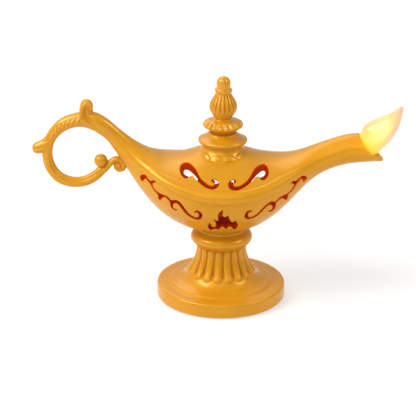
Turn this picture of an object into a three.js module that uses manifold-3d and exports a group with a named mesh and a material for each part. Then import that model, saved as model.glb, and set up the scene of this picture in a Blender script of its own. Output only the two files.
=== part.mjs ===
// Magic lamp: a battery LED lamp in the shape of a traditional oil lamp.
// Millimetres, +Z up, +X towards the spout, -Y towards the front.
// The origin is the centre of the foot's underside.
import * as THREE from 'three';
import { mergeVertices } from 'three/addons/utils/BufferGeometryUtils.js';
import Module from 'manifold-3d';

const wasm = await Module();
wasm.setup();

// ---------------------------------------------------------------- driving dimensions
const FOOT_R = 22.9;            // foot radius
const FOOT_EDGE_H = 4.3;        // straight edge of the foot
const STEM_TOP_Z = 19.0;        // shoulder that carries the collar
const SPIGOT_R = 6.1;           // threaded spigot through the bowl's floor
const SPIGOT_TOP_Z = 32.2;
const SPIGOT_BORE_R = 4.6;      // wireway
const COLLAR_R = 11.0;          // bead between stem and bowl
const COLLAR_Z = [19.2, 25.55];
const BOWL_SEAT_Z = 25.8;       // flat underside of the bowl
const BOWL_SEAT_R = 8.4;        // round boss that sits on the collar
const BOWL_FLOOR_Z = 28.9;      // inside floor of the bowl
const WALL = 2.4;               // shell thickness of the bowl
const SPOUT_WALL = 1.2;         // shell thickness at the spout's mouth
const BAND_H = 2.3;             // half height of the raised band
const BAND_OUT = 0.8;           // how far the band stands out
const SEAM_GAP = 0.25;          // gap between upper and lower shell
const MOUTH_R = 6.0;            // opening under the lid
const NECK_R = 9.75;            // scalloped collar, widest radius
const LID_R = 8.65;             // lid disc
const PLUG_R = 5.6;             // lid plug
const FINIAL_TOP_Z = 81.3;      // overall height
const BASE_PLATE_R = 20.3;
const BASE_PLATE_T = 1.35;
const SCREW_PCR = 17.4;         // base screws' circle radius
const CAP_X = -10.4;            // battery cap centre
const CAP_R = 8.6;
const CELL_R = 8.0;
const SWITCH_X = 9.5;           // switch centre
const HANDLE_Y = 0.88;          // handle thickness across, as a share of its height
const FLAME_BASE = [50.9, 57.8];  // centre of the flame's bulb, x and z
const FLAME_TIP = [62.25, 70.9];
const LED_START = [45.2, 55.6];
const LED_TILT = 25;            // degrees above horizontal
const WIRE_R = 0.5;
const LIP_SCOOP = 0.9;          // how far the sides of the spout's mouth draw back
const GAP = 0.3;

// ---------------------------------------------------------------- helpers
const mat = (color, roughness, metalness, extra = {}) =>
  new THREE.MeshStandardMaterial({ color, roughness, metalness, ...extra });
const GOLD = mat(0xd9962a, 0.4, 0.15);
const GOLD_2 = mat(0xdc9a2e, 0.38, 0.15);
const RED = mat(0xa63a0c, 0.5, 0.0);
const STEEL = mat(0xb9bcc0, 0.3, 0.9);
const NICKEL = mat(0xc9c5b8, 0.3, 0.9);
const BLACK = mat(0x222224, 0.5, 0.0);
const WHITE = mat(0xeeeae0, 0.5, 0.0);
const AMBER = mat(0xffe07a, 0.25, 0.0, { transparent: true, opacity: 0.8 });
const CLEAR = mat(0xfff2c0, 0.15, 0.0, { transparent: true, opacity: 0.7 });
const WIRE_RED = mat(0xb02018, 0.45, 0.0);

// One closed solid from a geometry: shared vertices merged, slivers dropped, faces outward.
function solid(geometry) {
  let g = geometry.clone();
  for (const k of Object.keys(g.attributes)) if (k !== 'position') g.deleteAttribute(k);
  g = mergeVertices(g, 1e-4);
  const p = g.attributes.position.array;
  const src = g.index.array;
  const tri = [];
  let vol = 0;
  for (let i = 0; i < src.length; i += 3) {
    const [a, b, c] = [src[i], src[i + 1], src[i + 2]];
    if (a === b || b === c || a === c) continue;
    tri.push(a, b, c);
    const [ax, ay, az] = [p[3 * a], p[3 * a + 1], p[3 * a + 2]];
    const [bx, by, bz] = [p[3 * b], p[3 * b + 1], p[3 * b + 2]];
    const [cx, cy, cz] = [p[3 * c], p[3 * c + 1], p[3 * c + 2]];
    vol += ax * (by * cz - bz * cy) - ay * (bx * cz - bz * cx) + az * (bx * cy - by * cx);
  }
  if (vol < 0) for (let i = 0; i < tri.length; i += 3) [tri[i + 1], tri[i + 2]] = [tri[i + 2], tri[i + 1]];
  return new wasm.Manifold(new wasm.Mesh({
    numProp: 3,
    vertProperties: new Float32Array(p),
    triVerts: new Uint32Array(tri),
  }));
}

function geometryOf(s) {
  const m = s.getMesh();
  const g = new THREE.BufferGeometry();
  g.setAttribute('position', new THREE.BufferAttribute(new Float32Array(m.vertProperties), 3));
  g.setIndex(new THREE.BufferAttribute(new Uint32Array(m.triVerts), 1));
  g.computeVertexNormals();
  return g;
}

function piece(name, s, material) {
  const m = new THREE.Mesh(geometryOf(s), material);
  m.name = name;
  return m;
}

// Profile [[r, z], ...] turned about the Z axis.
function turned(profile, segments = 32) {
  const g = new THREE.LatheGeometry(profile.map(([r, z]) => new THREE.Vector2(r, z)), segments);
  g.rotateX(Math.PI / 2);
  return g;
}

// Closed profile turned about the Z axis: the first point is repeated at the end.
const turnedRing = (profile, segments = 32) => turned([...profile, profile[0]], segments);

function rod(r, z0, z1, segments = 20) {
  const g = new THREE.CylinderGeometry(r, r, z1 - z0, segments);
  g.rotateX(Math.PI / 2);
  g.translate(0, 0, (z0 + z1) / 2);
  return g;
}

function box(x0, x1, y0, y1, z0, z1) {
  const g = new THREE.BoxGeometry(x1 - x0, y1 - y0, z1 - z0);
  g.translate((x0 + x1) / 2, (y0 + y1) / 2, (z0 + z1) / 2);
  return g;
}

// Closed skin over a row of rings with the same number of points.
function loft(rings) {
  const n = rings[0].length;
  const pos = [];
  for (const r of rings) for (const v of r) pos.push(v.x, v.y, v.z);
  const idx = [];
  for (let i = 0; i + 1 < rings.length; i++) {
    for (let j = 0; j < n; j++) {
      const a = i * n + j, b = i * n + (j + 1) % n, c = (i + 1) * n + (j + 1) % n, d = (i + 1) * n + j;
      idx.push(a, b, c, a, c, d);
    }
  }
  const cap = (ring, base, flip) => {
    const m = ring.reduce((s, v) => s.add(v), new THREE.Vector3()).multiplyScalar(1 / n);
    const k = pos.length / 3;
    pos.push(m.x, m.y, m.z);
    for (let j = 0; j < n; j++) {
      const a = base + j, b = base + (j + 1) % n;
      if (flip) idx.push(k, b, a); else idx.push(k, a, b);
    }
  };
  cap(rings[0], 0, true);
  cap(rings[rings.length - 1], (rings.length - 1) * n, false);
  const g = new THREE.BufferGeometry();
  g.setAttribute('position', new THREE.Float32BufferAttribute(pos, 3));
  g.setIndex(idx);
  return g;
}

// Tube in the XZ plane with a varying radius: points [[x, z, r], ...].
function limb(points, steps, sides = 10, depth = HANDLE_Y) {
  const path = new THREE.CatmullRomCurve3(points.map(([x, z]) => new THREE.Vector3(x, 0, z)), false, 'centripetal');
  const rings = [];
  for (let i = 0; i <= steps; i++) {
    const t = i / steps;
    const c = path.getPoint(t);
    const d = path.getTangent(t);
    const f = t * (points.length - 1);
    const k = Math.min(Math.floor(f), points.length - 2);
    const r = points[k][2] + (points[k + 1][2] - points[k][2]) * (f - k);
    const nx = -d.z, nz = d.x;
    const ring = [];
    for (let j = 0; j < sides; j++) {
      const a = (2 * Math.PI * j) / sides;
      ring.push(new THREE.Vector3(c.x + nx * r * Math.cos(a), depth * r * Math.sin(a), c.z + nz * r * Math.cos(a)));
    }
    rings.push(ring);
  }
  return loft(rings);
}

// Round wire along a space curve.
function wire(points, r, steps) {
  const section = new THREE.Shape();
  section.absarc(0, 0, r, 0, 2 * Math.PI, false);
  const path = new THREE.CatmullRomCurve3(points.map((p) => new THREE.Vector3(...p)), false, 'centripetal');
  return new THREE.ExtrudeGeometry(section, { steps, curveSegments: 4, bevelEnabled: false, extrudePath: path });
}

// Prism cutter: outline [x, v] in the plane tipped back by `tilt` degrees, from depth d0 to d1 towards the front.
function prism(outline, tilt, d0, d1) {
  const shape = new THREE.Shape(outline.map(([x, v]) => new THREE.Vector2(x, v)));
  const g = new THREE.ExtrudeGeometry(shape, { depth: d1 - d0, bevelEnabled: false, steps: 1 });
  g.translate(0, 0, d0);
  const a = THREE.MathUtils.degToRad(tilt);
  const m = new THREE.Matrix4().makeBasis(
    new THREE.Vector3(1, 0, 0),
    new THREE.Vector3(0, Math.sin(a), Math.cos(a)),
    new THREE.Vector3(0, -Math.cos(a), Math.sin(a)));
  g.applyMatrix4(m);
  return g;
}

// Outline of a stroke that follows a line, with a half width at each point.
function stroke(points) {
  const left = [], right = [];
  points.forEach(([x, v, h], i) => {
    const a = points[Math.max(i - 1, 0)], b = points[Math.min(i + 1, points.length - 1)];
    const l = Math.hypot(b[0] - a[0], b[1] - a[1]);
    const nx = -(b[1] - a[1]) / l, nv = (b[0] - a[0]) / l;
    left.push([x + nx * h, v + nv * h]);
    right.unshift([x - nx * h, v - nv * h]);
  });
  return [...left, ...right];
}

const join = (list) => list.reduce((s, g) => s.add(g));
const mirrorY = (s) => s.mirror([0, 1, 0]);

// ---------------------------------------------------------------- body surface
// Sections along the bowl, from the handle to the slanted mouth of the spout. Each has a crest point, a keel point,
// a half width, the band's place between keel and crest, and the roundness of the upper side.
const U = [-37, -35, -33, -30.5, -27, -23.5, -20, -16, -12, -6, 0, 6, 12, 16, 20, 24, 28, 32, 36, 40, 44, 48, 52];
const CREST_X = [-35, -33, -31, -28.8, -26, -23, -20, -16, -12, -6, 0, 6, 12, 16, 20, 24, 28, 32, 36, 40, 42.8, 44.9, 46.7];
const CREST_Z = [60.9, 59.2, 57.7, 56.22, 54.48, 53.2, 52.12, 51.9, 53.1, 55.6, 54.7, 55.6, 53.3, 52.45, 52.2, 52.73, 54.28, 56.32, 58, 59.48, 60.3, 60.75, 60.85];
const KEEL_X = [-38.2, -36.2, -34.2, -31.6, -28, -24, -20, -16, -12, -6, 0, 6, 12, 16, 20, 24, 28, 32, 36, 40, 44.5, 49.2, 56.2];
const KEEL_Z = [54.6, 51.6, 48.6, 44.3, 39, 34.2, 30.8, 28.35, 26.65, 25.3, 24.9, 25.4, 27.4, 29.7, 32.72, 36.52, 41, 44.9, 47.45, 49.1, 50.25, 50.8, 51.3];
const HALF_W = [2.9, 3.5, 4.5, 6.5, 9.0, 12.2, 15.0, 17.3, 19.1, 20.6, 21.0, 20.6, 19.1, 17.3, 14.8, 11.9, 9.1, 7.1, 6.1, 5.6, 5.45, 5.4, 5.4];
const BAND_AT = [0.4921, 0.5132, 0.5379, 0.6002, 0.7181, 0.7759, 0.807, 0.7814, 0.716, 0.6304, 0.637, 0.6221, 0.6759, 0.7101, 0.7482, 0.7639, 0.7077, 0.5865, 0.5071, 0.4961, 0.5, 0.5, 0.5052];
const ROUND_A = [2, 2, 2, 2, 2, 2.03, 2.08, 2.1, 1.9, 1.6, 1.9, 1.6, 1.9, 2.1, 2.08, 2.02, 2, 2, 2, 2, 2, 2, 2];
const ROUND_B = [0.5, 0.5, 0.52, 0.56, 0.62, 0.67, 0.7, 0.72, 0.73, 0.73, 0.73, 0.73, 0.73, 0.72, 0.7, 0.65, 0.59, 0.53, 0.5, 0.5, 0.5, 0.5, 0.5];
const BAND_FADE = [0, 0.2, 0.4, 0.6, 0.8, 0.95, 1, 1, 1, 1, 1, 1, 0.9, 0.8, 0.6, 0.4, 0.2, 0, 0, 0, 0, 0, 0];

// Monotone cubic through the stations.
function smooth(xs, ys) {
  const n = xs.length;
  const d = [], m = new Array(n).fill(0);
  for (let i = 0; i + 1 < n; i++) d.push((ys[i + 1] - ys[i]) / (xs[i + 1] - xs[i]));
  for (let i = 1; i + 1 < n; i++) {
    if (d[i - 1] * d[i] > 0) {
      const h0 = xs[i] - xs[i - 1], h1 = xs[i + 1] - xs[i];
      const w1 = 2 * h1 + h0, w2 = h1 + 2 * h0;
      m[i] = (w1 + w2) / (w1 / d[i - 1] + w2 / d[i]);
    }
  }
  m[0] = d[0];
  m[n - 1] = d[n - 2];
  return (x) => {
    const q = Math.min(Math.max(x, xs[0]), xs[n - 1]);
    let i = 0;
    while (i < n - 2 && q > xs[i + 1]) i++;
    const h = xs[i + 1] - xs[i], t = (q - xs[i]) / h;
    return (2 * t ** 3 - 3 * t ** 2 + 1) * ys[i] + (t ** 3 - 2 * t ** 2 + t) * h * m[i]
      + (-2 * t ** 3 + 3 * t ** 2) * ys[i + 1] + (t ** 3 - t ** 2) * h * m[i + 1];
  };
}
const [crestX, crestZ, keelX, keelZ, halfW, bandAt, roundA, roundB, bandFade] =
  [CREST_X, CREST_Z, KEEL_X, KEEL_Z, HALF_W, BAND_AT, ROUND_A, ROUND_B, BAND_FADE].map((a) => smooth(U, a));

// One closed section of the body at station u, inset by `wall`.
function bodyRing(u, wall, banded, nUp, nLow, push = 0) {
  const cx = crestX(u) - keelX(u), cz = crestZ(u) - keelZ(u), l = Math.hypot(cx, cz);
  const ex = cx / l, ez = cz / l;
  const f = bandAt(u);
  const hT = l * (1 - f) - wall, hB = l * f - wall, w = halfW(u) - wall;
  const ox = keelX(u) + cx * f + push * ez, oz = keelZ(u) + cz * f - push * ex;
  const a = roundA(u), b = roundB(u);
  const bh = Math.min(BAND_H, 0.45 * hT, 0.45 * hB);
  const out = banded ? BAND_OUT * bandFade(u) : 0;
  const half = [];
  const upS = (h) => (1 - (h / hT) ** (1 / b)) ** (1 / a);
  const lowS = (h) => Math.sqrt(1 - (h / hB) ** 2);
  const sC = upS(bh);
  for (let k = 0; k <= nUp; k++) {
    const s = sC * Math.sin((Math.PI / 2) * (k / nUp));
    half.push([w * s, hT * (1 - s ** a) ** b]);
  }
  half.push([w * upS(0.5 * bh) + out * 0.9, 0.5 * bh]);
  half.push([w + out, 0]);
  half.push([w * lowS(0.5 * bh) + out * 0.85, -0.5 * bh]);
  const sL = lowS(bh);
  for (let k = 0; k <= nLow; k++) {
    const s = sL * Math.cos((Math.PI / 2) * (k / nLow));
    half.push([w * s, -hB * Math.sqrt(1 - s * s)]);
  }
  const pull = LIP_SCOOP * (Math.max(u - 44, 0) / 8) ** 2;
  const at = ([y, h], side) => {
    const back = pull * (y / w) ** 2;
    return new THREE.Vector3(ox + ex * h - back * ez, side * y, oz + ez * h + back * ex);
  };
  const ring = half.map((q) => at(q, -1));
  for (let k = half.length - 2; k > 0; k--) ring.push(at(half[k], 1));
  return ring;
}

const OUTER_U = [-37, -35, -33, -30.5, -27.5, -24.5, -21, -17, -13, -9, -4.5, 0, 4.5, 9, 13, 17, 21, 24.5, 28, 32, 36, 40, 44, 48, 52];
const INNER_U = [-28.5, -26, -22, -17, -12, -6, 0, 6, 12, 17, 22, 27, 32, 37, 42, 47, 52];
const wallAt = smooth([-37, 34, 42, 52], [WALL, WALL, 1.7, SPOUT_WALL]);
const bodyOuter = solid(loft(OUTER_U.map((u) => bodyRing(u, 0, true, 5, 5))));
const bodyInner = solid(loft([
  ...INNER_U.map((u) => bodyRing(u, wallAt(u), false, 3, 3)),
  bodyRing(52, SPOUT_WALL, false, 3, 3, 2.5),
])).subtract(solid(box(-40, 40, -30, 30, 0, BOWL_FLOOR_Z)));

// ---------------------------------------------------------------- pierced ornament
// Scrolls on the dome, in a plane tipped back by 30 degrees.
const SCROLL_TILT = 30;
const SCROLL_LEFT = [[-14.62, 38.4], [-14.5, 39.89], [-13.92, 41.13], [-12.72, 41.77], [-11.49, 41.47], [-10.36, 40.47], [-9.46, 39.33],
  [-7.76, 35.83], [-6.1, 33.89], [-4.34, 32.56], [-3.47, 32.39], [-2.6, 32.73], [-2.44, 33.2], [-3.15, 33.66], [-3.76, 34.24],
  [-3.49, 34.83], [-2.51, 35.01], [-1.53, 34.71], [-1.03, 34.02], [-0.97, 33.2], [-1.4, 32.05], [-2.05, 31.37], [-3.02, 31.08], [-5.2, 31.41],
  [-7.4, 32.97], [-10.23, 36.06], [-10.72, 36.2], [-11.27, 35.91], [-11.8, 35.24], [-13.34, 35.52], [-14.02, 36.29], [-14.43, 37.21]];
const SCROLL_RIGHT = [[15.64, 38.82], [15.52, 40.31], [14.95, 41.54], [13.74, 42.17], [12.5, 41.83], [11.35, 40.82], [10.44, 39.66],
  [8.73, 36.1], [7.96, 34.96], [6.2, 33.29], [5.33, 32.69], [4.46, 32.49], [3.59, 32.82], [3.42, 33.28], [4.13, 33.76], [4.73, 34.36],
  [4.45, 34.94], [3.47, 35.09], [2.49, 34.77], [2.0, 34.06], [1.95, 33.24], [2.39, 32.1], [3.05, 31.43], [4.03, 31.17], [6.21, 31.56],
  [8.39, 33.21], [11.22, 36.39], [11.72, 36.54], [12.27, 36.26], [12.81, 35.61], [14.36, 35.94], [15.04, 36.73], [15.44, 37.64]];
// Vines and flame on the bowl, in a plane tipped back by 8 degrees. Strokes are [x, v, half width].
const VINE_TILT = 8;
const VINE_LEFT = [
  [[-28.3, 45.1, 0.5], [-27.4, 45.75, 0.75], [-26.61, 45.74, 0.6], [-24.23, 42.95, 0.4], [-23.6, 41.72, 0.4], [-21.7, 40.28, 0.45], [-19.18, 39.82, 0.3], [-17.62, 38.35, 0.25]],
  [[-24.9, 44.0, 0.3], [-23.89, 44.89, 0.5], [-22.78, 44.66, 0.15]],
  [[-22.2, 40.0, 0.4], [-21.3, 38.9, 0.55], [-21.43, 37.57, 0.15]],
  [[-18.0, 37.9, 0.3], [-17.47, 37.95, 0.4], [-16.37, 38.78, 0.5], [-15.13, 38.65, 0.6], [-13.89, 37.44, 0.6], [-12.96, 35.97, 0.5], [-11.88, 34.28, 0.5], [-10.65, 33.14, 0.5], [-9.1, 32.63, 0.55], [-7.56, 33.04, 0.55], [-6.95, 34.21, 0.5], [-7.42, 35.43, 0.4], [-8.49, 35.85, 0.3]],
  [[-17.6, 37.6, 0.4], [-17.18, 35.9, 0.4], [-16.4, 35.05, 0.35], [-15.46, 35.18, 0.25]],
];
const VINE_RIGHT = [
  [[29.4, 45.7, 0.5], [28.5, 46.4, 0.75], [27.68, 46.36, 0.6], [25.4, 43.29, 0.4], [24.82, 41.95, 0.4], [22.96, 40.39, 0.45], [20.4, 39.97, 0.3], [18.87, 38.48, 0.25]],
  [[26.0, 44.5, 0.3], [24.99, 45.31, 0.5], [23.88, 45.01, 0.15]],
  [[23.4, 40.1, 0.4], [22.6, 38.9, 0.55], [22.86, 37.4, 0.15]],
  [[19.2, 38.0, 0.3], [18.74, 38.1, 0.4], [17.57, 38.96, 0.5], [16.32, 38.85, 0.6], [15.1, 37.62, 0.6], [14.22, 36.13, 0.5], [13.19, 34.4, 0.5], [11.98, 33.23, 0.5], [10.44, 32.7, 0.55], [8.87, 33.11, 0.55], [8.22, 34.3, 0.5], [8.65, 35.53, 0.4], [9.72, 35.97, 0.3]],
  [[18.9, 37.7, 0.4], [18.54, 35.9, 0.4], [17.76, 35.01, 0.35], [16.79, 35.23, 0.25]],
];
const FLAME_CUT = [[-4.67, 29.66], [-4.19, 31.36], [-3.28, 29.78], [-2.49, 29.44], [-2.0, 30.12], [-2.06, 31.25], [-2.82, 32.78],
  [-1.53, 32.24], [-1.24, 32.49], [-1.36, 34.13], [-0.98, 35.27], [0.37, 36.52], [0.21, 34.5], [0.91, 33.81], [2.28, 34.38], [3.01, 32.25],
  [3.81, 31.5], [4.59, 32.2], [5.41, 31.17], [5.63, 30.13], [5.26, 29.09], [4.29, 28.6], [3.77, 29.19], [2.96, 29.75], [2.07, 29.39],
  [1.49, 28.8], [0.78, 29.55], [0.08, 29.8], [-1.08, 28.7], [-2.48, 28.9], [-3.46, 28.5], [-4.26, 28.6], [-4.67, 29.12]];
// Leaf-shaped openings at the back of the bowl, in a plane tipped back by 21.5 degrees.
const LEAF_TILT = 21.5;
const LEAVES = [
  [[-13.95, 42.9], [-13.75, 43.9], [-12.85, 44.4], [-11.7, 44.2], [-10.55, 43.4], [-8.15, 40.75], [-8.75, 40.0], [-10.7, 41.5], [-11.99, 41.3], [-12.95, 41.55], [-13.65, 42.1]],
  [[-3.95, 40.95], [-2.55, 41.5], [-1.4, 41.0], [-0.55, 40.0], [-1.95, 38.65], [-2.75, 38.9], [-2.55, 39.75], [-2.85, 40.1]],
  [[15.5, 43.2], [15.3, 44.2], [14.35, 44.7], [13.2, 44.45], [12.1, 43.65], [9.8, 40.95], [10.35, 40.2], [12.25, 41.75], [13.56, 41.55], [14.5, 41.8], [15.25, 42.4]],
  [[5.6, 41.05], [4.25, 41.55], [3.05, 41.05], [2.2, 40.05], [3.65, 38.7], [4.45, 38.95], [4.25, 39.8], [4.55, 40.15]],
];

const scrolls = join([SCROLL_LEFT, SCROLL_RIGHT].map((o) => solid(prism(o, SCROLL_TILT, 24, 46))));
const vineOuter = join([...VINE_LEFT.slice(0, 3), ...VINE_RIGHT.slice(0, 3)].map((s) => solid(prism(stroke(s), VINE_TILT, 9, 30))));
const vineInner = join([...VINE_LEFT.slice(3), ...VINE_RIGHT.slice(3)].map((s) => solid(prism(stroke(s), VINE_TILT, 14, 30))));
const flameCut = solid(prism(FLAME_CUT, VINE_TILT, 12, 32));
const leaves = join(LEAVES.map((o) => solid(prism(o, LEAF_TILT, -24, 3))));

// ---------------------------------------------------------------- flame and LED
// Flame: a leaning drop. Rows are [along the axis, shift across, half width, half depth].
const flameAxis = new THREE.Vector3(FLAME_TIP[0] - FLAME_BASE[0], 0, FLAME_TIP[1] - FLAME_BASE[1]).normalize();
const FLAME_ROWS = [[-4.0, 0, 0.3, 0.3], [-3.6, 0, 1.6, 1.5], [-2.6, 0, 2.9, 2.7], [-1.2, 0.05, 3.75, 3.4], [0.4, 0.18, 4.3, 3.8], [2.0, 0.12, 4.85, 4.1], [3.8, 0.07, 5.18, 4.3], [5.6, 0.3, 5.03, 4.25],
  [7.6, 0.5, 4.52, 3.95], [10.0, 0.75, 3.72, 3.25], [12.0, 0.84, 2.8, 2.5], [13.6, 0.74, 2.08, 1.9], [15.0, 0.48, 1.46, 1.35], [16.4, 0.1, 0.9, 0.85], [17.3, 0, 0.25, 0.25]];
function flameShape(grow) {
  return loft(FLAME_ROWS.map(([s, shift, across, deep], i) => {
    const along = s + (i === 0 ? -grow : i === FLAME_ROWS.length - 1 ? grow : 0);
    const ring = [];
    for (let j = 0; j < 18; j++) {
      const a = (2 * Math.PI * j) / 18;
      const q = shift + (across + grow) * Math.cos(a);
      ring.push(new THREE.Vector3(FLAME_BASE[0] + flameAxis.x * along + flameAxis.z * q, (deep + grow) * Math.sin(a), FLAME_BASE[1] + flameAxis.z * along - flameAxis.x * q));
    }
    return ring;
  }));
}
const LED_TURN = Math.PI / 2 - THREE.MathUtils.degToRad(LED_TILT);
const alongLed = (g) => { g.rotateY(LED_TURN); g.translate(LED_START[0], 0, LED_START[1]); return g; };
const ledSolid = solid(alongLed(turned([[0, 0], [1.85, 0], [1.85, 0.9], [1.5, 0.9], [1.5, 3.6], [1.2, 4.5], [0.6, 5.0], [0, 5.1]], 14)));
const ledRoom = solid(alongLed(turned([[0, -1], [2.2, -1], [2.2, 1.3], [1.85, 1.3], [1.85, 3.7], [1.5, 4.8], [0.8, 5.4], [0, 5.5]], 14)));
const flameSolid = solid(flameShape(0)).subtract(ledRoom);
const socketSolid = solid(alongLed(turnedRing([[1.2, -3.2], [2.6, -3.2], [2.6, 0.6], [2.15, 0.6], [2.15, -0.3], [1.2, -0.3]], 20)));
const flameRoom = solid(flameShape(GAP));

// ---------------------------------------------------------------- bowl shells
// Crease over the band, where the upper shell meets the lower one.
const CREASE = [[-28.6, 52.75], [-26, 52.3], [-22, 50.9], [-16, 49.05], [-12, 47.9], [-6, 46.75], [0, 46.25], [6, 46.55], [12, 47.25], [16, 48.2], [20, 49.65], [24, 51.25], [28, 52.75]];
const above = (drop) => {
  const pts = [[-33.6, 66], [-30.4, 53.4 - drop], ...CREASE.map(([x, z]) => [x, z - drop]), [30.2, 53.7 - drop], [33.4, 66]];
  return solid(prism(pts.map(([x, z], i) => [x + (i < 2 ? -drop : i > pts.length - 3 ? drop : 0), z]), 0, -30, 30));
};
const shell = bodyOuter.subtract(bodyInner);
const neckSeat = solid(turned([[0, 52.8], [6.0, 52.8], [10.05, 52.3], [10.05, 60], [0, 60]], 32));
const mouth = solid(rod(MOUTH_R, 45, 62, 32));

const upperShell = shell.intersect(above(0)).subtract(neckSeat).subtract(mouth).subtract(scrolls).subtract(mirrorY(scrolls).translate([0, 0.4, -0.69]));
const HANDLE_PEG = [[-33.5, 54.6], [-38.0, 59.1]];   // peg between handle and bowl, x and z
const pegDir = new THREE.Vector3(HANDLE_PEG[1][0] - HANDLE_PEG[0][0], 0, HANDLE_PEG[1][1] - HANDLE_PEG[0][1]);
function peg(r, extra) {
  const len = pegDir.length() + extra;
  const g = new THREE.CylinderGeometry(r, r, len, 16);
  g.rotateX(Math.PI / 2);
  g.translate(0, 0, len / 2 - extra);
  g.rotateY(Math.atan2(pegDir.x, pegDir.z));
  g.translate(HANDLE_PEG[0][0], 0, HANDLE_PEG[0][1]);
  return g;
}
const lowerShell = shell.subtract(above(SEAM_GAP))
  .subtract(solid(rod(12, 15, BOWL_SEAT_Z, 32)))
  .add(solid(rod(BOWL_SEAT_R, BOWL_SEAT_Z, BOWL_FLOOR_Z - 0.4, 32)))
  .subtract(solid(rod(SPIGOT_R + GAP, 20, 32, 32)))
  .subtract(vineOuter).subtract(vineInner).subtract(flameCut)
  .subtract(mirrorY(vineOuter)).subtract(leaves)
  .subtract(flameRoom)
  .subtract(solid(peg(1.5 + GAP, GAP)));

// ---------------------------------------------------------------- handle
const ringPath = [[-35.6, 57.3, 3.6], [-36.6, 57.85, 3.55], [-38.35, 59.6, 3.15], [-40.47, 61.65, 3.1], [-42.7, 63.35, 3.1], [-44.95, 64.55, 3.1], [-47.8, 65.1, 2.88], [-51.0, 64.9, 2.58],
  [-55.16, 63.4, 2.34], [-58.1, 60.97, 2.06], [-60.37, 57.62, 1.9], [-61.4, 52.96, 1.83], [-60.55, 47.9, 1.9], [-57.84, 44.0, 1.93], [-54.93, 42.4, 1.92],
  [-51.4, 41.88, 1.86], [-48.0, 42.45, 1.86], [-44.85, 44.2, 1.82], [-42.35, 46.55, 1.7]];
const curlPath = [[-42.0, 46.4, 1.25], [-40.57, 47.82, 1.2], [-39.2, 49.36, 1.15], [-37.7, 50.52, 1.1], [-36.16, 50.45, 1.05], [-35.01, 49.46, 1.0], [-34.56, 48.17, 0.95], [-35.11, 46.93, 0.9], [-36.39, 46.63, 0.85]];
// Straight trim at the seam between the stem and the bowl.
const seamTrim = (() => {
  const [tx, tz, bx, bz] = [CREST_X[0], CREST_Z[0], KEEL_X[0], KEEL_Z[0]];
  const g = new THREE.BoxGeometry(6, 12, Math.hypot(tx - bx, tz - bz) + 1.6);
  g.translate(3 - GAP, 0, 0);
  g.rotateY(Math.atan2(tx - bx, tz - bz));
  g.translate((tx + bx) / 2, 0, (tz + bz) / 2);
  return solid(g);
})();
const bodyEnd = solid(loft([-36.8, -35, -33, -31, -29].map((u) => bodyRing(u, -GAP, false, 4, 4))));
const handleSolid = join([
  solid(limb(ringPath, 40, 8)),
  solid(limb(curlPath, 14, 8, 1.25)),
  solid(limb([[-46.2, 43.5, 1.2], [-43.9, 45.3, 1.15], [-42.35, 47.0, 1.1], [-42.0, 48.7, 1.1]], 6, 8)),
  solid(new THREE.SphereGeometry(2.36, 10, 7).translate(-42.72, 0, 50.08)),
  solid(new THREE.CylinderGeometry(1.75, 1.75, 2.3, 16).translate(-36.25, 0, 48.55)),
  solid(limb([[-46.1, 64.4, 2.4], [-47.1, 66.9, 2.4], [-47.5, 68.9, 2.38], [-47.42, 70.3, 2.2]], 5, 8, 0.9)),
  solid(new THREE.SphereGeometry(2.2, 10, 7).scale(1, 0.9, 1).translate(-47.42, 0, 70.33)),
  solid(limb([[-60.4, 57.6, 1.9], [-61.6, 56.2, 1.95], [-63.0, 55.1, 2.05], [-64.6, 54.45, 2.12]], 5, 8, 0.9)),
  solid(new THREE.SphereGeometry(2.1, 10, 7).scale(1, 0.9, 1).translate(-64.6, 0, 54.45)),
]).subtract(seamTrim).subtract(bodyEnd).add(solid(peg(1.5, 0)));

// ---------------------------------------------------------------- foot and stem
const pedestalProfile = [
  [FOOT_R, 0], [FOOT_R, FOOT_EDGE_H], [22.7, 4.8], [22.2, 5.05], [18.3, 5.2], [17.9, 5.65], [16, 6.05], [14.3, 6.65], [12.45, 8.1], [10.9, 10.6], [9.7, 13.6], [8.95, 16.5], [8.7, STEM_TOP_Z],
  [6.9, STEM_TOP_Z], [6.9, BOWL_SEAT_Z - 0.3], [SPIGOT_R, BOWL_SEAT_Z - 0.3], [SPIGOT_R, SPIGOT_TOP_Z], [SPIGOT_BORE_R, SPIGOT_TOP_Z], [SPIGOT_BORE_R, 19], [6.9, 13], [8.2, 10],
  [10.6, 7], [14.5, 5.0], [15.6, 4.7], [15.6, 1.6], [BASE_PLATE_R + GAP, 1.6], [BASE_PLATE_R + GAP, 0]];
const screwSpots = [0, 120, 240].map((a) => [SCREW_PCR * Math.cos(THREE.MathUtils.degToRad(a)), SCREW_PCR * Math.sin(THREE.MathUtils.degToRad(a))]);
const screwHoles = (r, z0, z1) => join(screwSpots.map(([x, y]) => solid(rod(r, z0, z1, 12).translate(x, y, 0))));
const pedestalSolid = solid(turnedRing(pedestalProfile, 28))
  .subtract(solid(rod(CELL_R + 0.5, 1, 4.2, 32).translate(CAP_X, 0, 0)))
  .subtract(screwHoles(1.2, 1, 4.6));
const collarSolid = solid(turnedRing([[7.2, COLLAR_Z[0]], [8.7, COLLAR_Z[0]], [9.3, 19.75], [10.35, 20.65], [COLLAR_R, 22.0], [10.65, 23.2], [10.0, 24.0], [9.4, 24.35], [8.6, 24.7], [8.3, 25.1], [8.4, COLLAR_Z[1]], [7.2, COLLAR_Z[1]]], 28));
const nutOuter = new THREE.CylinderGeometry(7.7, 7.7, 2.3, 6).rotateX(Math.PI / 2).rotateZ(Math.PI / 2).translate(0, 0, 30.75);
const nutSolid = solid(nutOuter).subtract(solid(rod(SPIGOT_R + GAP, 28, 33, 32)));

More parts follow.
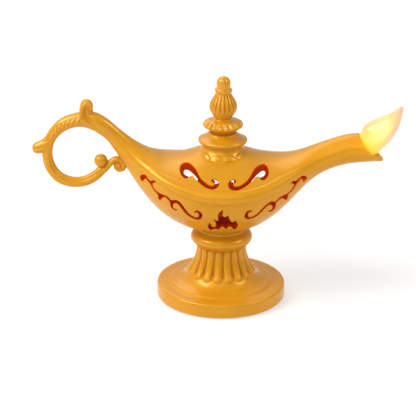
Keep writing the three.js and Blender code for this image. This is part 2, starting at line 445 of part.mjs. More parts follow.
const basePlateSolid = solid(rod(BASE_PLATE_R, 0, BASE_PLATE_T, 32))
  .subtract(solid(rod(CAP_R + 0.25, -1, 3, 32).translate(CAP_X, 0, 0)))
  .subtract(solid(box(SWITCH_X - 3.4, SWITCH_X + 3.4, -1.6, 1.6, -1, 3)))
  .subtract(screwHoles(1.2, -1, 3)).subtract(screwHoles(2.0, -1, 0.8));
const screwSolid = solid(turned([[0, 0.1], [1.4, 0.1], [1.65, 0.3], [1.65, 0.65], [0.85, 0.7], [0.85, 3.8], [0, 4.3]], 12));
const capSolid = solid(rod(CAP_R, 0.15, BASE_PLATE_T, 32)).subtract(solid(box(-5, 5, -0.9, 0.9, -1, 0.75)));
const cellSolid = solid(turned([[0, 1.65], [7.7, 1.65], [CELL_R, 1.9], [CELL_R, 3.3], [7.4, 3.45], [6.6, 3.65], [0, 3.65]], 24));

const contactPosSolid = solid(box(-2.1, -1.7, -2.5, 2.5, 1.75, 4.3)).add(solid(box(-1.75, 1.2, -1.0, 1.0, 4.0, 4.3)));
const contactNegSolid = solid(box(-13.5, -6.0, -2.0, 2.0, 3.75, 4.05)).add(solid(box(-6.3, -6.0, -2.0, 2.0, 3.8, 6.3)));

const switchSolid = solid(box(SWITCH_X - 4.2, SWITCH_X + 4.2, -3.0, 3.0, 1.6, 4.7)).subtract(solid(box(SWITCH_X - 3.6, SWITCH_X + 3.6, -1.8, 1.8, 1, 3.2)));
const sliderSolid = solid(box(SWITCH_X + 0.4, SWITCH_X + 3.0, -1.3, 1.3, 0.3, 2.9));

// ---------------------------------------------------------------- neck, lid and finial
const neckSolid = solid(turnedRing([[6.3, 53.05], [9.5, 52.65], [NECK_R, 52.95], [9.68, 53.25], [9.4, 53.6], [8.7, 54.3], [8.0, 55.1], [7.45, 56.0], [7.2, 57.0], [7.1, 57.45], [6.3, 57.45]], 28));
const lidSolid = solid(turnedRing([[1.3, 58.3], [4.2, 58.3], [4.2, 52.6], [PLUG_R, 52.6], [PLUG_R, 57.7], [8.0, 57.7], [8.5, 57.95], [LID_R, 58.35], [8.35, 58.85], [7.6, 59.25], [6.6, 59.75], [5.7, 60.3], [5.25, 60.7], [4.8, 61.05], [4.5, 61.2], [1.3, 61.2]], 28));
const finialSolid = solid(turned([[0, 66.8], [1.3, 66.8], [1.3, 61.45], [4.1, 61.45], [4.2, 61.9], [4.5, 62.4], [5.6, 62.7], [6.7, 63.25], [7.1, 63.8], [6.75, 64.65], [5.3, 65.4], [3.2, 65.8], [2.8, 66.15], [3.5, 67.2], [4.6, 69.0], [4.87, 70.3],
  [4.6, 71.6], [3.9, 73.1], [3.0, 74.7], [2.6, 75.4], [2.95, 75.8], [2.95, 76.8], [2.3, 77.2], [2.43, 78.2], [2.4, 79.2], [2.05, 80.2], [1.2, 81.0], [0, FINIAL_TOP_Z]], 22));
const finialScrewSolid = solid(turned([[0, 56.7], [1.9, 56.7], [2.2, 57.1], [2.2, 58.0], [1.0, 58.0], [1.0, 66.0], [0, 66.4]], 16));

// ---------------------------------------------------------------- wires
const wirePath = (y, x0, y0, z0) => [[x0, y0, z0], [x0 * 0.55 + 0.6, (y0 + y) / 2, z0 + 3.2], [1.2, y, 13], [1.0, y, 20], [1.4, y, 27], [2.4, y, 31.2], [4.2, y, 33.6], [8, y, 34.4], [16, y, 36.6], [24, y, 41.6], [31, y, 47.8], [37, y, 51.6], [40.0, y, 53.2], [41.9, y * 0.8, 54.1]];
const wirePosSolid = solid(wire(wirePath(-1.2, 6.6, -1.6, 5.1), WIRE_R, 26));
const wireNegSolid = solid(wire(wirePath(1.2, -5.3, 1.0, 6.0), WIRE_R, 26));

// ---------------------------------------------------------------- assembly
const lamp = new THREE.Group();
const foot = new THREE.Group();
foot.add(piece('pedestal', pedestalSolid, GOLD));
foot.add(piece('stem_collar', collarSolid, GOLD_2));
foot.add(piece('stem_nut', nutSolid, RED));
foot.add(piece('base_plate', basePlateSolid, RED));
screwSpots.forEach(([x, y], i) => {
  const s = piece(`base_screw_${i + 1}`, screwSolid, STEEL);
  s.position.set(x, y, 0);
  foot.add(s);
});
const cap = piece('battery_cap', capSolid, RED);
cap.position.set(CAP_X, 0, 0);
foot.add(cap);
const cell = piece('coin_cell', cellSolid, STEEL);
cell.position.set(CAP_X, 0, 0);
foot.add(cell);
foot.add(piece('contact_positive', contactPosSolid, NICKEL));
foot.add(piece('contact_negative', contactNegSolid, NICKEL));
foot.add(piece('switch_body', switchSolid, BLACK));
foot.add(piece('switch_slider', sliderSolid, WHITE));
lamp.add(foot);

const bowl = new THREE.Group();
bowl.add(piece('body_lower_shell', lowerShell, GOLD));
bowl.add(piece('body_upper_shell', upperShell, GOLD));
bowl.add(piece('handle', handleSolid, GOLD));
bowl.add(piece('neck_collar', neckSolid, GOLD_2));
lamp.add(bowl);

const cover = new THREE.Group();
cover.add(piece('lid', lidSolid, GOLD_2));
cover.add(piece('finial', finialSolid, GOLD));
cover.add(piece('finial_screw', finialScrewSolid, STEEL));
lamp.add(cover);

const light = new THREE.Group();
light.add(piece('flame', flameSolid, AMBER));
light.add(piece('led', ledSolid, CLEAR));
light.add(piece('led_socket', socketSolid, WHITE));
light.add(piece('wire_positive', wirePosSolid, WIRE_RED));
light.add(piece('wire_negative', wireNegSolid, BLACK));
lamp.add(light);

export default lamp;
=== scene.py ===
import math

import bpy
import numpy as np
from mathutils import Matrix, Vector
from mathutils.bvhtree import BVHTree


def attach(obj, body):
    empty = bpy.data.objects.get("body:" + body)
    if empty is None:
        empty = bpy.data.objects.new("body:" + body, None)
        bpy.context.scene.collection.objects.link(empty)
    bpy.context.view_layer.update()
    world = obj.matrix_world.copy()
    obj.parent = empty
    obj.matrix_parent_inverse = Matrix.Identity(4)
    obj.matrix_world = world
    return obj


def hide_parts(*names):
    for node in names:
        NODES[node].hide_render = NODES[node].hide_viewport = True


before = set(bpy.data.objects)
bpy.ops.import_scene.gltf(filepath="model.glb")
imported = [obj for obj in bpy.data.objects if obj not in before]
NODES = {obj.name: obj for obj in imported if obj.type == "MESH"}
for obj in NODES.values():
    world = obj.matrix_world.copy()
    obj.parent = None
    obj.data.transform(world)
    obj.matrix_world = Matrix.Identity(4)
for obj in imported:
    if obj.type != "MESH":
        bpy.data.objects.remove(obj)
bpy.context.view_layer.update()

# Magic lamp. Shapes below are in millimetres, in the part's own frame (+X to the spout, -Y to the front, +Z up),
# and each finished piece is scaled to metres.
SCENE = bpy.context.scene
FRONT = -math.pi / 2


# ---------------------------------------------------------------- mesh helpers
def make(name, verts, faces):
    """Object from points and faces, turned so that its faces point out."""
    me = bpy.data.meshes.new(name)
    me.from_pydata(np.asarray(verts, float).tolist(), [], [list(map(int, f)) for f in faces])
    me.update()
    me.calc_loop_triangles()
    tri = np.empty(len(me.loop_triangles) * 3, np.int32)
    me.loop_triangles.foreach_get("vertices", tri)
    co = np.asarray(verts, float)
    a, b, c = (co[tri[i::3]] for i in range(3))
    if np.einsum("ij,ij->i", a, np.cross(b, c)).sum() < 0:
        me.flip_normals()
    ob = bpy.data.objects.new(name, me)
    SCENE.collection.objects.link(ob)
    return ob


def drop(ob):
    me = ob.data
    bpy.data.objects.remove(ob)
    bpy.data.meshes.remove(me)


def bake(ob):
    """Applies the object's modifiers."""
    dg = bpy.context.evaluated_depsgraph_get()
    me = bpy.data.meshes.new_from_object(ob.evaluated_get(dg), preserve_all_data_layers=True, depsgraph=dg)
    old = ob.data
    ob.modifiers.clear()
    ob.data = me
    bpy.data.meshes.remove(old)
    me.name = ob.name
    return ob


def boolean(ob, tools, op="DIFFERENCE", keep=False):
    for t in tools:
        m = ob.modifiers.new("cut", "BOOLEAN")
        m.operation, m.solver, m.object = op, "MANIFOLD", t
    bake(ob)
    if not keep:
        for t in tools:
            drop(t)
    return ob


def duplicate(ob, name):
    c = bpy.data.objects.new(name, ob.data.copy())
    SCENE.collection.objects.link(c)
    return c


def loft(rings, start=True, end=True):
    """Points and faces of a skin over rings with the same number of points."""
    n = len(rings[0])
    verts = np.concatenate(rings)
    j = np.arange(n)
    faces = []
    for i in range(len(rings) - 1):
        a = i * n + j
        b = i * n + (j + 1) % n
        faces.append(np.stack([a, b, b + n, a + n], 1))
    faces = np.concatenate(faces).tolist()
    if start:
        faces.append(list(range(n))[::-1])
    if end:
        faces.append(list(range((len(rings) - 1) * n, len(rings) * n)))
    return verts, faces


def monotone(xs, ys):
    """Monotone cubic through stations."""
    xs, ys = np.array(xs, float), np.array(ys, float)
    h, d = np.diff(xs), np.diff(ys) / np.diff(xs)
    m = np.zeros(len(xs))
    for i in range(1, len(xs) - 1):
        if d[i - 1] * d[i] > 0:
            w1, w2 = 2 * h[i] + h[i - 1], h[i] + 2 * h[i - 1]
            m[i] = (w1 + w2) / (w1 / d[i - 1] + w2 / d[i])
    m[0], m[-1] = d[0], d[-1]

    def f(x):
        x = np.clip(np.asarray(x, float), xs[0], xs[-1])
        i = np.clip(np.searchsorted(xs, x, side="right") - 1, 0, len(xs) - 2)
        t = (x - xs[i]) / h[i]
        return ((2 * t**3 - 3 * t**2 + 1) * ys[i] + (t**3 - 2 * t**2 + t) * h[i] * m[i]
                + (-2 * t**3 + 3 * t**2) * ys[i + 1] + (t**3 - t**2) * h[i] * m[i + 1])

    return f


def step(lo, hi, x):
    t = np.clip((np.asarray(x, float) - lo) / (hi - lo), 0, 1)
    return t * t * (3 - 2 * t)


def spline(points, closed=False, per=10):
    """Centripetal Catmull-Rom curve through points of any dimension."""
    p = np.asarray(points, float)
    if closed:
        p = np.concatenate([p[-1:], p, p[:2]])
    else:
        p = np.concatenate([2 * p[:1] - p[1:2], p, 2 * p[-1:] - p[-2:-1]])
    out = []
    for i in range(1, len(p) - 2):
        k = [0.0]
        for q in range(3):
            k.append(k[-1] + max(np.linalg.norm(p[i + q] - p[i + q - 1]), 1e-6) ** 0.5)
        t = np.linspace(k[1], k[2], per, endpoint=False)[:, None]
        a1 = (k[1] - t) / (k[1] - k[0]) * p[i - 1] + (t - k[0]) / (k[1] - k[0]) * p[i]
        a2 = (k[2] - t) / (k[2] - k[1]) * p[i] + (t - k[1]) / (k[2] - k[1]) * p[i + 1]
        a3 = (k[3] - t) / (k[3] - k[2]) * p[i + 1] + (t - k[2]) / (k[3] - k[2]) * p[i + 2]
        b1 = (k[2] - t) / (k[2] - k[0]) * a1 + (t - k[0]) / (k[2] - k[0]) * a2
        b2 = (k[3] - t) / (k[3] - k[1]) * a2 + (t - k[1]) / (k[3] - k[1]) * a3
        out.append((k[2] - t) / (k[2] - k[1]) * b1 + (t - k[1]) / (k[2] - k[1]) * b2)
    if not closed:
        out.append(p[-2:-1])
    return np.concatenate(out)


def resample(curve, gap, last=True):
    d = np.concatenate([[0], np.cumsum(np.linalg.norm(np.diff(curve, axis=0), axis=1))])
    n = max(int(round(d[-1] / gap)), 1)
    s = np.linspace(0, d[-1], n + 1)
    if not last:
        s = s[:-1]
    return np.stack([np.interp(s, d, curve[:, i]) for i in range(curve.shape[1])], 1)


def outline(points, gap=0.16, corner=62):
    """Smooth closed outline through points, which keeps the corners that turn by more than `corner` degrees."""
    p = np.asarray(points, float)
    area = 0.5 * np.sum(p[:, 0] * np.roll(p[:, 1], -1) - np.roll(p[:, 0], -1) * p[:, 1])
    if area < 0:
        p = p[::-1]
    a, b = p - np.roll(p, 1, 0), np.roll(p, -1, 0) - p
    turn = np.degrees(np.abs(np.arctan2(a[:, 0] * b[:, 1] - a[:, 1] * b[:, 0], (a * b).sum(1))))
    tips = np.nonzero(turn > corner)[0]
    if len(tips) == 0:
        c = spline(p, True)
        return resample(np.concatenate([c, c[:1]]), gap, last=False)
    out = []
    for i, t in enumerate(tips):
        e = tips[(i + 1) % len(tips)]
        idx = np.arange(t, e + 1 if e > t else e + len(p) + 1) % len(p)
        out.append(resample(spline(p[idx]), gap, last=False))
    return np.concatenate(out)


def profile(points, gap=0.22, closed=False):
    """Lathe profile through (r, z) points. A third number of 1 marks a corner."""
    pts = [tuple(q) + (0,) * (3 - len(q)) for q in points]
    if closed:
        pts = pts + pts[:1]
    out, part = [], [pts[0][:2]]
    for i, q in enumerate(pts[1:], 1):
        part.append(q[:2])
        if q[2] or i == len(pts) - 1:
            c = spline(part) if len(part) > 2 else np.array(part, float)
            out.append(resample(c, gap, last=False))
            part = [q[:2]]
    if not closed:
        out.append(np.array([pts[-1][:2]], float))
    return np.concatenate(out)


def lathe(name, prof, segs, mod=None, closed=False, at=(0, 0)):
    """Profile (r, z) turned about a vertical axis. mod(theta, r, z) gives the radius all round."""
    th = np.linspace(0, 2 * np.pi, segs, endpoint=False)
    r, z = prof[:, 0][:, None] * np.ones(segs), prof[:, 1][:, None] * np.ones(segs)
    if mod is not None:
        r, z = mod(th[None, :] * np.ones_like(r), r, z)
    pts = np.stack([r * np.cos(th) + at[0], r * np.sin(th) + at[1], z], -1)
    n = len(prof)
    if closed:
        verts = pts.reshape(-1, 3)
        i = np.arange(n)[:, None] * segs
        k = ((np.arange(n) + 1) % n)[:, None] * segs
        j, q = np.arange(segs)[None, :], (np.arange(segs)[None, :] + 1) % segs
        return make(name, verts, np.stack([i + j, i + q, k + q, k + j], -1).reshape(-1, 4).tolist())
    lo, hi = prof[0, 0] < 1e-9, prof[-1, 0] < 1e-9
    body = pts[1 if lo else 0: n - 1 if hi else n]
    verts, faces = loft(list(body), not lo, not hi)
    last = (len(body) - 1) * segs
    if lo:
        verts = np.concatenate([verts, [[at[0], at[1], prof[0, 1]]]])
        faces += [[len(verts) - 1, (j + 1) % segs, j] for j in range(segs)]
    if hi:
        verts = np.concatenate([verts, [[at[0], at[1], prof[-1, 1]]]])
        faces += [[len(verts) - 1, last + j, last + (j + 1) % segs] for j in range(segs)]
    return make(name, verts, faces)


def rod(r, z0, z1, segs=64, at=(0, 0)):
    return lathe("tool", np.array([[0, z0], [r, z0], [r, z1], [0, z1]], float), segs, at=at)


def box(x0, x1, y0, y1, z0, z1, name="tool"):
    v = [(x, y, z) for z in (z0, z1) for y in (y0, y1) for x in (x0, x1)]
    return make(name, v, [(0, 2, 3, 1), (4, 5, 7, 6), (0, 1, 5, 4), (2, 6, 7, 3), (0, 4, 6, 2), (1, 3, 7, 5)])


def finish(ob, body, nodes, mats, sharp=38, index=None):
    """Scales a piece to metres, shades it and puts it on its body."""
    me = ob.data
    me.transform(Matrix.Scale(0.001, 4))
    me.materials.clear()
    for m in mats:
        me.materials.append(m)
    if index is not None:
        me.polygons.foreach_set("material_index", np.asarray(index, np.int32))
    else:
        me.polygons.foreach_set("material_index", np.zeros(len(me.polygons), np.int32))
    me.shade_smooth()
    me.set_sharp_from_angle(angle=math.radians(sharp))
    me.update()
    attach(ob, body)
    if nodes:
        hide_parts(*nodes)
    return ob


def centres(me):
    c = np.empty(len(me.polygons) * 3)
    me.polygons.foreach_get("center", c)
    return c.reshape(-1, 3)


# ---------------------------------------------------------------- pierced ornament: (x, v) in tipped planes
# Scrolls on the dome, in the plane tipped back by 30 degrees.
SCROLL_L = [
    (-14.81, 38.66), (-14.75, 39.68), (-14.48, 40.57), (-13.99, 41.24), (-13.34, 41.64), (-12.67, 41.75), (-11.89, 41.51), (-11.10, 40.92),
    (-10.37, 40.13), (-9.69, 39.29), (-9.12, 38.38), (-8.64, 37.41), (-8.25, 36.53), (-7.88, 35.77), (-7.38, 34.96), (-6.81, 34.32), (-6.17, 33.75),
    (-5.51, 33.23), (-4.85, 32.73), (-4.25, 32.46), (-3.65, 32.37), (-3.11, 32.48), (-2.80, 32.74), (-2.72, 33.08), (-2.92, 33.38), (-3.33, 33.63),
    (-3.72, 33.92), (-3.94, 34.21), (-3.91, 34.54), (-3.62, 34.77), (-3.13, 34.95), (-2.53, 34.91), (-1.93, 34.59), (-1.43, 34.04), (-1.18, 33.52),
    (-1.17, 33.01), (-1.34, 32.38), (-1.71, 31.81), (-2.23, 31.38), (-2.88, 31.13), (-3.64, 31.04), (-4.51, 31.16), (-5.38, 31.50), (-6.15, 31.91),
    (-6.92, 32.48), (-7.69, 33.15), (-8.35, 33.83), (-8.79, 34.33), (-9.29, 34.88), (-9.79, 35.50), (-10.29, 36.08), (-10.79, 36.26), (-11.28, 36.00),
    (-11.58, 35.57), (-11.98, 35.24), (-12.53, 35.16), (-13.19, 35.37), (-13.77, 35.89), (-14.24, 36.61), (-14.59, 37.46)]
SCROLL_R = [
    (15.97, 38.39), (15.85, 37.36), (15.56, 36.36), (15.05, 35.57), (14.38, 35.04), (13.62, 34.85), (13.08, 35.07), (12.93, 35.48), (12.68, 36.00),
    (12.24, 36.26), (11.80, 36.23), (11.32, 35.88), (10.83, 35.32), (10.30, 34.59), (9.74, 33.96), (9.17, 33.37), (8.42, 32.72), (7.55, 32.01),
    (6.68, 31.47), (5.70, 31.03), (4.61, 30.78), (3.63, 30.82), (2.76, 31.17), (2.15, 31.80), (1.91, 32.53), (1.94, 33.24), (2.18, 33.82), (2.61, 34.30),
    (3.15, 34.72), (3.74, 34.93), (4.25, 34.71), (4.60, 34.33), (4.64, 33.95), (4.40, 33.66), (4.05, 33.58), (3.75, 33.28), (3.66, 32.89), (3.89, 32.44),
    (4.60, 32.23), (5.48, 32.36), (6.24, 32.69), (7.00, 33.18), (7.77, 33.85), (8.43, 34.57), (8.98, 35.34), (9.54, 36.35), (10.10, 37.41), (10.56, 38.43),
    (11.01, 39.27), (11.58, 39.95), (12.38, 40.66), (13.17, 41.16), (14.08, 41.45), (14.69, 41.32), (15.23, 40.77), (15.68, 39.91), (15.92, 39.11)]
# Vines and flame on the bowl, in the plane tipped back by 8 degrees.
VINE_L = [
    (-28.68, 45.05), (-28.53, 45.69), (-27.99, 46.18), (-27.19, 46.33), (-26.50, 46.07), (-25.96, 45.43), (-25.48, 44.88), (-25.01, 44.59),
    (-24.48, 44.66), (-24.04, 44.96), (-23.44, 44.94), (-22.77, 44.63), (-23.31, 44.27), (-23.84, 43.98), (-24.12, 43.53), (-24.12, 42.95),
    (-23.86, 42.28), (-23.38, 41.70), (-22.75, 41.17), (-22.04, 40.78), (-21.25, 40.47), (-20.38, 40.28), (-19.52, 40.12), (-18.81, 39.86),
    (-18.27, 39.31), (-17.72, 38.80), (-17.21, 38.66), (-16.63, 39.06), (-15.77, 39.07), (-14.92, 38.72), (-14.15, 38.03), (-13.53, 37.24),
    (-12.99, 36.37), (-12.40, 35.54), (-11.75, 34.70), (-11.06, 34.01), (-10.29, 33.51), (-9.51, 33.11), (-8.74, 33.03), (-8.20, 33.40), (-7.99, 34.04),
    (-8.15, 34.67), (-8.59, 35.05), (-9.25, 34.97), (-9.59, 35.19), (-9.41, 35.68), (-8.67, 35.97), (-7.87, 35.70), (-7.23, 35.07), (-6.88, 34.14),
    (-6.97, 33.15), (-7.46, 32.44), (-8.20, 32.09), (-9.13, 32.14), (-10.21, 32.53), (-11.26, 33.07), (-12.22, 33.82), (-13.02, 34.68), (-13.77, 35.64),
    (-14.41, 36.63), (-15.13, 37.41), (-15.78, 37.70), (-16.40, 37.58), (-16.87, 37.13), (-17.05, 36.54), (-16.93, 35.88), (-16.55, 35.43),
    (-16.03, 35.28), (-15.61, 35.41), (-15.55, 34.98), (-15.93, 34.70), (-16.55, 34.84), (-17.21, 35.27), (-17.67, 35.93), (-17.91, 36.68),
    (-17.97, 37.47), (-18.28, 38.23), (-18.82, 38.75), (-19.40, 39.29), (-20.07, 39.28), (-20.66, 38.91), (-21.12, 38.36), (-21.51, 37.53),
    (-21.98, 38.09), (-22.28, 38.70), (-22.15, 39.45), (-22.45, 40.00), (-23.08, 40.54), (-23.71, 41.26), (-24.23, 42.05), (-24.70, 42.87),
    (-25.18, 43.48), (-25.68, 44.02), (-26.16, 44.54), (-26.59, 44.95), (-27.04, 44.72), (-27.32, 44.19), (-27.70, 43.75), (-28.14, 43.81),
    (-28.52, 44.33)]
VINE_R = [
    (25.25, 44.97), (26.02, 45.58), (26.82, 46.17), (27.59, 46.57), (28.36, 46.62), (29.01, 46.20), (29.51, 45.67), (29.22, 45.05), (28.70, 44.43),
    (28.25, 43.91), (27.87, 44.59), (27.86, 45.25), (27.38, 45.53), (26.87, 45.22), (26.30, 44.61), (25.79, 44.03), (25.36, 43.28), (24.97, 42.51),
    (24.40, 41.82), (23.77, 41.17), (23.13, 40.63), (22.69, 40.11), (22.78, 39.49), (22.66, 38.71), (22.41, 38.16), (22.17, 37.67), (21.54, 38.54),
    (20.88, 39.05), (20.24, 39.30), (19.60, 38.96), (19.02, 38.39), (18.55, 37.87), (18.54, 37.00), (18.39, 36.06), (18.02, 35.22), (17.44, 34.65),
    (16.66, 34.45), (16.04, 34.54), (15.85, 35.01), (16.30, 35.12), (16.82, 35.15), (17.26, 35.57), (17.43, 36.09), (17.27, 36.68), (16.86, 37.15),
    (16.20, 37.50), (15.56, 37.29), (14.81, 36.59), (14.19, 35.86), (13.62, 35.14), (12.92, 34.46), (12.23, 33.81), (11.37, 33.22), (10.42, 32.80),
    (9.47, 32.57), (8.51, 32.60), (7.91, 32.93), (7.64, 33.55), (7.65, 34.32), (8.02, 35.17), (8.65, 35.94), (9.44, 36.23), (10.02, 36.19), (10.26, 35.70),
    (9.77, 35.51), (9.30, 35.48), (8.98, 35.02), (8.80, 34.38), (8.95, 33.74), (9.44, 33.39), (10.11, 33.41), (10.90, 33.71), (11.68, 34.21),
    (12.43, 34.90), (13.04, 35.59), (13.66, 36.33), (14.36, 37.09), (15.06, 37.79), (15.84, 38.38), (16.56, 38.71), (17.28, 38.78), (17.92, 38.40),
    (18.47, 38.46), (19.06, 39.16), (19.70, 39.72), (20.37, 40.06), (21.18, 40.31), (22.00, 40.52), (22.78, 40.96), (23.44, 41.64), (24.07, 42.33),
    (24.59, 43.02), (24.75, 43.55), (24.59, 44.07), (24.08, 44.39), (23.37, 44.63), (24.06, 45.09), (24.74, 45.23)]
FLAME_C = [
    (-4.82, 29.36), (-4.68, 30.17), (-4.42, 31.11), (-4.22, 30.89), (-3.94, 30.22), (-3.56, 29.57), (-3.11, 29.16), (-2.61, 29.05), (-2.27, 29.34),
    (-2.12, 29.99), (-2.14, 30.74), (-2.34, 31.40), (-2.70, 32.02), (-3.02, 32.64), (-2.80, 32.71), (-2.26, 32.36), (-1.71, 32.07), (-1.40, 32.27),
    (-1.35, 32.83), (-1.48, 33.44), (-1.56, 34.09), (-1.45, 34.74), (-1.16, 35.27), (-0.68, 35.80), (-0.19, 36.20), (0.14, 36.51), (0.31, 36.38),
    (0.21, 35.70), (0.07, 35.01), (0.13, 34.42), (0.43, 33.90), (0.83, 33.69), (1.22, 33.78), (1.66, 34.10), (2.10, 34.31), (2.28, 34.13), (2.26, 33.59),
    (2.47, 32.92), (2.83, 32.16), (3.29, 31.57), (3.69, 31.32), (4.03, 31.55), (4.27, 31.99), (4.51, 32.15), (4.77, 31.78), (5.13, 31.18), (5.40, 30.41),
    (5.46, 29.70), (5.25, 28.96), (4.83, 28.27), (4.25, 27.68), (3.93, 28.17), (3.51, 28.91), (3.05, 29.38), (2.65, 29.43), (2.16, 29.14), (1.72, 28.67),
    (1.39, 27.95), (1.03, 28.52), (0.67, 29.06), (0.21, 29.40), (-0.13, 29.35), (-0.42, 28.97), (-0.76, 28.34), (-1.25, 27.79), (-1.85, 27.96),
    (-2.45, 28.11), (-3.04, 27.86), (-3.69, 27.44), (-4.34, 27.73), (-4.70, 28.45)]
# The outer ends of the vines, which are pierced at the back too.
VINE_L_OUTER = VINE_L[:24] + VINE_L[78:]
VINE_R_OUTER = VINE_R[:29] + VINE_R[85:]
# Leaf-shaped openings at the back, in the plane tipped back by 21.5 degrees.
LEAVES = [
    [(-13.89, 42.99), (-13.74, 43.57), (-13.23, 43.96), (-12.60, 43.97), (-11.96, 43.76), (-11.32, 43.30), (-10.68, 42.76), (-10.04, 42.19), (-9.45, 41.51), (-8.93, 40.87), (-8.67, 40.57), (-8.92, 40.00), (-9.61, 40.22), (-10.32, 40.91), (-10.90, 41.36), (-11.47, 41.30), (-11.93, 41.11), (-12.23, 41.57), (-12.75, 41.80), (-13.33, 42.13)],
    [(-3.82, 40.72), (-3.59, 41.18), (-2.78, 41.37), (-1.96, 41.14), (-1.14, 40.57), (-0.61, 39.88), (-0.78, 39.35), (-1.25, 39.35), (-1.83, 39.07), (-2.38, 39.02), (-2.64, 39.21), (-2.47, 39.62), (-2.39, 40.00), (-2.71, 40.26), (-3.12, 40.41), (-3.53, 40.48)],
    [(15.67, 43.22), (15.41, 43.71), (14.90, 43.89), (14.28, 43.68), (13.60, 43.22), (12.92, 42.64), (12.36, 42.06), (11.79, 41.37), (11.11, 40.55), (10.56, 39.94), (10.83, 39.50), (11.57, 40.44), (12.25, 41.14), (12.82, 41.48), (13.39, 41.43), (13.62, 41.37), (13.96, 41.54), (14.52, 41.66), (15.09, 42.01), (15.54, 42.58)],
    [(3.02, 40.29), (2.79, 40.61), (3.48, 41.08), (4.29, 41.38), (4.81, 41.03), (4.64, 40.74), (4.41, 40.39), (4.32, 39.92), (4.42, 39.44), (3.90, 39.59), (3.43, 39.89)]]

# ---------------------------------------------------------------- materials
class Nodes:
    """Small wrapper to wire a procedural material."""

    def __init__(self, name):
        self.mat = bpy.data.materials.new(name)
        self.mat.use_nodes = True
        self.tree = self.mat.node_tree
        self.tree.nodes.clear()
        self.out = self.add("ShaderNodeOutputMaterial")
        self.bsdf = self.add("ShaderNodeBsdfPrincipled")
        self.link(self.bsdf.outputs[0], self.out.inputs["Surface"])
        self.coords = self.add("ShaderNodeTexCoord").outputs["Object"]

    def add(self, kind, **props):
        n = self.tree.nodes.new(kind)
        for k, v in props.items():
            setattr(n, k, v)
        return n

    def link(self, a, b):
        self.tree.links.new(a, b)

    def set(self, **values):
        for k, v in values.items():
            self.bsdf.inputs[k.replace("_", " ")].default_value = v
        return self

    def mapped(self, scale, rotate=(0, 0, 0)):
        m = self.add("ShaderNodeMapping")
        m.inputs["Scale"].default_value = scale
        m.inputs["Rotation"].default_value = rotate
        self.link(self.coords, m.inputs["Vector"])
        return m.outputs[0]

    def noise(self, scale, detail=3, rough=0.5, vector=None, distortion=0.0):
        n = self.add("ShaderNodeTexNoise")
        n.inputs["Scale"].default_value = scale
        n.inputs["Detail"].default_value = detail
        n.inputs["Roughness"].default_value = rough
        n.inputs["Distortion"].default_value = distortion
        self.link(vector or self.coords, n.inputs["Vector"])
        return n.outputs["Fac"]

    def ramp(self, fac, stops):
        r = self.add("ShaderNodeValToRGB")
        e = r.color_ramp.elements
        while len(e) < len(stops):
            e.new(0.5)
        for el, (pos, col) in zip(e, stops):
            el.position = pos
            el.color = (*col, 1.0)
        self.link(fac, r.inputs[0])
        return r.outputs[0]

    def map(self, fac, lo, hi, a=0.3, b=0.7):
        m = self.add("ShaderNodeMapRange")
        m.inputs["From Min"].default_value, m.inputs["From Max"].default_value = a, b
        m.inputs["To Min"].default_value, m.inputs["To Max"].default_value = lo, hi
        self.link(fac, m.inputs["Value"])
        return m.outputs[0]

    def mix(self, fac, a, b, blend="MIX"):
        m = self.add("ShaderNodeMix", data_type="RGBA", blend_type=blend)
        for socket, v in ((m.inputs[0], fac), (m.inputs[6], a), (m.inputs[7], b)):
            if isinstance(v, (int, float)):
                socket.default_value = v
            elif isinstance(v, tuple):
                socket.default_value = (*v, 1.0)
            else:
                self.link(v, socket)
        return m.outputs[2]

    def bump(self, height, strength, distance, normal=None):
        b = self.add("ShaderNodeBump")
        b.inputs["Strength"].default_value = strength
        b.inputs["Distance"].default_value = distance
        self.link(height, b.inputs["Height"])
        if normal is not None:
            self.link(normal, b.inputs["Normal"])
        return b.outputs[0]

    def to(self, socket, value):
        self.link(value, self.bsdf.inputs[socket])
        return self


def gold_plastic(name, streak, light=(0.700, 0.306, 0.010), dark=(0.634, 0.264, 0.006), coat=0.24, gloss=0.14):
    """Satin gold plastic with a faint drawn streak, cloudy pigment and a fine grain."""
    n = Nodes(name)
    cloud = n.noise(70, 4, 0.55)
    lines = n.noise(1.0, 3, 0.6, n.mapped(streak))
    grain = n.noise(2600, 2, 0.5)
    base = n.ramp(cloud, [(0.30, dark), (0.72, light)])
    base = n.mix(n.map(lines, 0.0, 0.30, 0.35, 0.68), base, (0.700, 0.335, 0.022))
    n.to("Base Color", base)
    n.to("Roughness", n.map(lines, 0.29, 0.36, 0.3, 0.7))
    fine = n.bump(grain, 0.10, 0.00002)
    n.to("Normal", n.bump(lines, 0.02, 0.00004, fine))
    n.set(IOR=1.46, Metallic=0.17, Specular_IOR_Level=0.33, Specular_Tint=(1.0, 0.76, 0.38, 1.0), Coat_Weight=coat, Coat_Roughness=gloss, Coat_IOR=1.42)
    return n.mat


def red_inside(name):
    """Unpainted inside of the shells: deep red-orange plastic with a painted glow, an emission that stands in for the
    lamp's light inside, weaker low in the bowl so that it reads darker there as painted shade.
    """
    n = Nodes(name)
    cloud = n.noise(120, 3, 0.5)
    split = n.add("ShaderNodeSeparateXYZ")
    n.link(n.coords, split.inputs[0])
    n.to("Base Color", n.ramp(cloud, [(0.3, (0.52, 0.058, 0.003)), (0.7, (0.64, 0.084, 0.005))]))
    n.to("Roughness", n.map(cloud, 0.42, 0.58))
    # painted glow: the emission colour stands in for light inside the shells, which give no light themselves
    n.to("Emission Color", n.ramp(cloud, [(0.3, (0.38, 0.040, 0.001)), (0.7, (0.48, 0.056, 0.001))]))
    # painted shade: the emission strength falls towards the bottom of the bowl
    n.to("Emission Strength", n.map(split.outputs["Z"], 0.07, 0.56, 0.031, 0.046))
    n.to("Normal", n.bump(n.noise(1800, 2, 0.5), 0.15, 0.00003))
    n.set(Specular_IOR_Level=0.2)
    return n.mat


